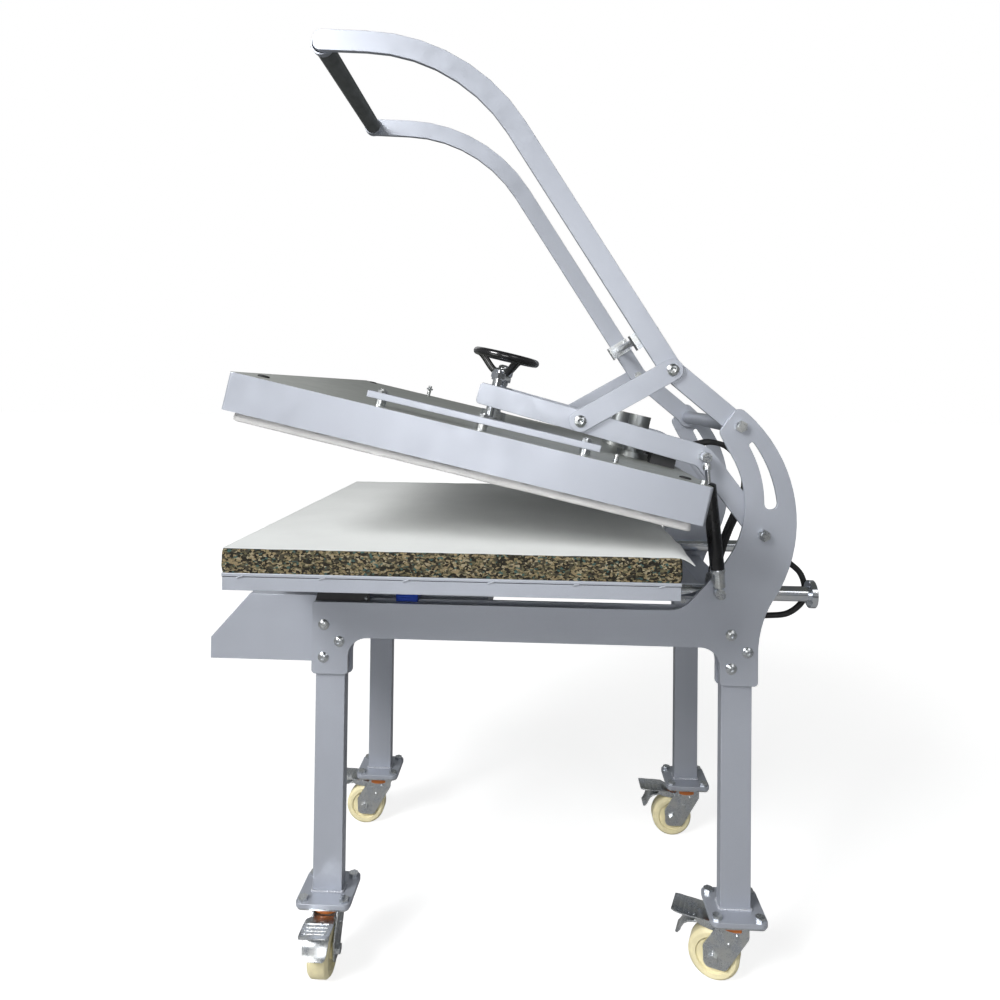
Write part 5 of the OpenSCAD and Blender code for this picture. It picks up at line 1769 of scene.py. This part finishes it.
@dataclass
class Caster:
    """One caster: its wheel's covers, its fork's rivets and its brake pedal."""

    shop: Workshop
    number: int
    x: float
    y: float
    swivel: float
    trail: float = 36.0
    axle_z: float = 50.0
    pin: Spot = (0.0, -20.0, 107.0)
    web_x: float = 20.0
    sheet_t: float = 3.0
    sheet_edge: float = 0.8
    hub_face: float = 20.0
    rivet: Row = Row(Stamp.BEAD, 4.2, 1.8, 4.0)
    rivet_xs: Pair = (27.0, 27.5)
    rivet_spots: tuple[Pair, ...] = ((10.0, 104.0), (-6.0, 84.0))
    rib: Row = Row(Stamp.BEAD, 1.5, 3.0, 2.6)
    pad_spine: tuple[Spot, ...] = (
        (-24, 110.5, 18), (-36, 111.6, 18), (-47, 116.5, 22), (-60, 120.4, 29), (-78, 121.0, 30),
        (-96, 121.4, 30), (-112, 123.0, 29), (-119, 124.2, 26))
    tread_spine: tuple[Spot, ...] = (
        (-40, 106.5, 18), (-62, 108.6, 20), (-76, 108.6, 24), (-86, 106.4, 25), (-94, 101.0, 25),
        (-99, 93.0, 25), (-102, 85.0, 24), (-107, 78.0, 22), (-111, 75.4, 18))
    web_shape: tuple[Pair, ...] = (
        (-13, 103), (-14, 110), (-24, 112), (-48, 116), (-66, 119), (-74, 110), (-62, 104),
        (-40, 100), (-20, 99.5))

    def turn(self) -> Matrix:
        """The caster's turn about its swivel axis."""
        return Matrix.Rotation(math.radians(self.swivel), 4, "Z")

    def at(self, x: float, y: float, z: float) -> Vector:
        """Place in the row frame of a point from the swivel axis on the floor, axle along X."""
        return stand_at(self.x, self.y, 0) @ self.turn() @ Vector((x * MM, y * MM, z * MM))

    def facing(self, side: Side, x: float, y: float, z: float) -> Matrix:
        """A frame at a point of the caster with Z along the axle, outwards on that side."""
        return Matrix.Translation(self.at(x, y, z)) @ self.turn() @ side.facing()

    def covers(self) -> None:
        """Turns the pressed steel covers on both faces of the wheel's hub."""
        profile = [(7.0, -3.5), (15.6, -3.5), (16.4, -2.9), (16.2, -1.6), (13.0, -0.2), (12.4, 1.3),
                   (9.0, 1.7), (7.0, 1.7)]
        parts = [turned_shape("cover", profile, self.facing(
            side, side.value * self.hub_face, -self.trail, self.axle_z), 40) for side in Side]
        self.shop.assemble(f"wheel_covers_{self.number}", parts, Finish.ZINC,
                           f"wheel_{self.number}", "zinc_steel")

    def rivets(self) -> None:
        """Sets the rivets of the fork's cheeks."""
        spots = [[self.at(s * x, y, z) for x in self.rivet_xs] for s in (1, -1)
                 for y, z in self.rivet_spots]
        piece = self.shop.repeat(f"fork_rivets_{self.number}", spots, self.rivet, Finish.ZINC)
        self.shop.keep(piece, f"fork_{self.number}", "zinc_steel")

    def sheet(self, spine: Sequence[Point]) -> Object:
        """A bent sheet that follows a spine.

        Args:
            spine: Points from the pin outwards, as place, height and half of the width.

        Returns:
            The closed sheet, in place.
        """
        line = [Vector((0, y, z)) for y, z, _ in spine]
        last, verts = len(line) - 1, []
        for k, (y, z, half) in enumerate(spine):
            ahead = (line[min(k + 1, last)] - line[max(k - 1, 0)]).normalized()
            up = Vector((0, -ahead.z, ahead.y)) * (self.sheet_t / 2)
            for sx, su in ((-1, -1), (1, -1), (1, 1), (-1, 1)):
                verts.append(self.at(sx * half, y + su * up.y, z + su * up.z))
        return outward(mesh_piece("sheet", verts, capped_faces(len(spine), 4)))

    def web(self, x: float) -> Object:
        """One side of the pedal, which joins its two sheets to the pin.

        Args:
            x: Its middle, across the pedal, in millimetres.

        Returns:
            The web, in place.
        """
        verts = [self.at(x + s * self.sheet_t / 2, y, z)
                 for s in (-1, 1) for y, z in self.web_shape]
        return outward(mesh_piece("web", verts, capped_faces(2, len(self.web_shape))))

    def pedal(self) -> None:
        """Bends the pedal: a level foot pad above, and a curved tread with a drooping lip below."""
        sheets = [self.sheet(self.pad_spine), self.sheet(self.tread_spine), self.web(self.web_x),
                  self.web(-self.web_x)]
        for part in sheets:
            bevel = part.modifiers.new("edge", "BEVEL")
            bevel.width, bevel.segments = self.sheet_edge * MM, 2
            bevel.angle_limit = math.radians(50)
            shade(settle(part), 40)
        sleeve = turned_shape("sleeve", [(4.4, -22), (6.4, -22), (6.4, 22), (4.4, 22)],
                              self.facing(Side.NEAR, *self.pin), 32)
        self.shop.assemble(f"brake_pedal_{self.number}", [*sheets, sleeve], Finish.ZINC,
                           f"pedal_{self.number}", "zinc_steel", f"caster_pedal_{self.number}")

    def pedal_ribs(self) -> None:
        """Presses the grip ribs into the pedal's foot pad."""
        runs = []
        for y in (-74.0, -84.0, -94.0, -104.0):
            z = 122.6 + max(0.0, -y - 96.0) * 0.1
            runs.append([self.at(x, y, z) for x in (-20, -10, 0, 10, 20)])
        piece = self.shop.repeat(f"pedal_ribs_{self.number}", runs, self.rib, Finish.ZINC)
        self.shop.keep(piece, f"pedal_{self.number}", "zinc_steel")

    def build(self) -> None:
        """Makes the caster's added pieces."""
        self.covers()
        self.rivets()
        self.pedal()
        self.pedal_ribs()


@dataclass
class GasSprings:
    """The rings, bands and fittings at the ends of the two gas springs."""

    shop: Workshop
    x: float = 297.0
    tube_end: float = 213.0
    eye_gap: float = 9.0

    def rings(self, name: str, profiles: Sequence[tuple[Sequence[Point], int]], finish: Finish,
              body: str, slot: str) -> None:
        """Turns the same rings about both springs.

        Args:
            name: Name of the piece.
            profiles: Each ring's profile from the spring's foot, and its points round the axis.
            finish: The piece's finish.
            body: Body that carries it.
            slot: The record's material slot.
        """
        (y0, z0), (y1, z1) = SPRING_FOOT, SPRING_TOP
        axis = Vector((0, y1 - y0, z1 - z0)).normalized()
        lean = axis.to_track_quat("Z", "Y").to_matrix().to_4x4()
        parts = [turned_shape("ring", profile, stand_at(side.value * self.x, y0, z0) @ lean, sides)
                 for side in Side for profile, sides in profiles]
        self.shop.assemble(name, parts, finish, body, slot)

    def build(self) -> None:
        """Makes the cylinders' wipers, crimps and lower bands, and the rods' upper fittings."""
        wiper = [(5.4, -1), (13.0, -1), (13.0, 1.2), (9.0, 3.4), (6.4, 4.4), (5.4, 4.4)]
        crimp = [(13.0, -16), (14.3, -15.4), (14.5, -14), (14.3, -12.6), (13.0, -12)]
        fitting = [(5.1, -16), (7.2, -16), (8.0, -15), (8.0, -6), (7.0, -4), (5.2, 0)]
        band = [(13.8, 40.4), (14.5, 40.8), (14.7, 42), (14.7, 46.6), (14.5, 47.8), (13.8, 48.2)]
        rod_end = math.dist(SPRING_FOOT, SPRING_TOP) - self.eye_gap
        self.rings("cylinder_rings", [([(r, self.tube_end + z) for r, z in profile], 40)
                                      for profile in (wiper, crimp)],
                   Finish.BLACK_PAINT, "spring_tubes", "black_paint")
        self.rings("rod_fittings", [([(r, rod_end + z) for r, z in fitting], 32)],
                   Finish.ZINC, "spring_rods", "zinc_steel")
        self.rings("cylinder_bands", [(band, 40)], Finish.ZINC, "spring_tubes", "zinc_steel")


# Second finishes and eased edges


# Where each rule holds: millimetres from the stand's middle, or in the head's own frame
BAR_SIDES = (257.3, 269.7)
RACE_RADII, RACE_Z = (31.0, 33.6), 114.5
GUARD_X = 267.0
SPRING_END = 40.5
REAR_POSTS_Y = 150.0
COVER_TOP = (524.0, 424.0, -1.95)
COVER_RIM = (517.0, 417.0, -7.0)


def is_fastener(spot: Vector) -> bool:
    """True beside the bars of the handle and the arms, where only their fasteners are."""
    return not BAR_SIDES[0] < abs(spot.x) < BAR_SIDES[1]


def is_race(spot: Vector) -> bool:
    """True round the swivel race at the top of a fork."""
    radius = math.hypot(abs(spot.x) - LEG_X, abs(spot.y) - LEG_Y)
    return RACE_RADII[0] < radius < RACE_RADII[1] and spot.z > RACE_Z


def is_guard(spot: Vector) -> bool:
    """True beyond the slide blocks, where the black guards stand."""
    return abs(spot.x) > GUARD_X


def is_spring_end(spot: Vector) -> bool:
    """True on the plated lower end of a gas spring."""
    foot, top = Vector((0, *SPRING_FOOT)), Vector((0, *SPRING_TOP))
    return (Vector((0, spot.y, spot.z)) - foot).dot((top - foot).normalized()) < SPRING_END


def is_rear_post(spot: Vector) -> bool:
    """True on the two posts behind the pressure screw."""
    return on_head(spot).y > REAR_POSTS_Y


def is_cover_top(spot: Vector) -> bool:
    """True on the flat top of the head's cover, and in the holes through it, where the darker copy
    of the paint puts painted shade.

    Args:
        spot: A place in millimetres from the stand's middle.

    Returns:
        Whether the place is there.
    """
    place = on_head(spot)
    x, y, z = COVER_TOP
    return place.z > z and abs(place.x) < x and abs(place.y) < y


def is_cover_rim(spot: Vector) -> bool:
    """True along the upper rim of the head's cover.

    Args:
        spot: A place in millimetres from the stand's middle.

    Returns:
        Whether the place is there.
    """
    place = on_head(spot)
    x, y, z = COVER_RIM
    return place.z > z and (abs(place.x) > x or abs(place.y) > y)


EASED: dict[str, Easing] = {
    **{f"side_plate_{side}": Easing(1.0) for side in ("near", "far")},
    **{f"arm_{side}": Easing(1.0, is_fastener) for side in ("near", "far")},
    **{f"handle_bar_{side}": Easing(1.3, is_fastener) for side in ("near", "far")},
    **{f"link_{side}": Easing(1.0) for side in ("near", "far")},
    **{f"inner_rail_{side}": Easing(0.8) for side in ("near", "far")},
    **{f"leg_{end}_{side}": Easing(1.2) for end in ("front", "rear") for side in ("near", "far")},
    **{f"caster_fork_{i}": Easing(0.7, is_race) for i in CASTERS},
    "head_cover": Easing(2.2, is_cover_top, is_cover_rim),
    "tray": Easing(0.9), "control_box": Easing(0.7), "arm_cross_beam": Easing(1.2),
    "rear_post_plate": Easing(1.0), "stiffener_bars": Easing(1.0), "rod_saddles": Easing(1.0),
    "slide_bearings": Easing(0.9, is_guard), "gas_cylinders": Easing(0.0, is_spring_end),
    "guide_posts": Easing(0.0, is_rear_post), "torsion_tube": Easing(0.0),
}
# The head cover's second finish is painted shade: the darker copy of the paint on its top
SECOND_FINISH: dict[str, Finish] = {
    "slide_bearings": Finish.BLACK_PLASTIC, "guide_posts": Finish.SATIN,
    "head_cover": Finish.SHADED_PAINT, **{f"caster_fork_{i}": Finish.AMBER for i in CASTERS},
}


def dress_nodes(palette: Palette) -> None:
    """Gives every CAD node its finish and eases the edges of those that show them.

    Args:
        palette: The finishes.
    """
    for finish, names in NODE_FINISH.items():
        for name in names.split():
            dress(frame["nodes"][name], palette[finish])
            if name in EASED:
                second = SECOND_FINISH.get(name, Finish.ZINC)
                EASED[name].soften(name, (palette[finish], palette[second]))
            LOG.info("%s: %s", name, finish.name.lower())


def main() -> None:
    """Builds the studio, the cables and every sub-assembly in order."""
    logging.basicConfig(level=logging.INFO, format="%(name)s: %(message)s")
    palette = Palette()
    shop = Workshop(palette, repeat_tree(), tube_tree())
    studio = Studio()
    studio.camera()
    cables = Cables(shop)
    cables.build()
    cables.boots()
    studio.light()
    studio.floor()
    dress_nodes(palette)
    parts = [kind(shop) for kind in (Stand, Tray, Head, PressureScrew, Handle, GasSprings)]
    swivels = ((LEG_X, -LEG_Y, 90), (-LEG_X, -LEG_Y, 0), (LEG_X, LEG_Y, -20), (-LEG_X, LEG_Y, 0))
    parts += [Caster(shop, i, *spot) for i, spot in zip(CASTERS, swivels)]
    for part in parts:
        part.build()


if __name__ == "__main__":
    main()
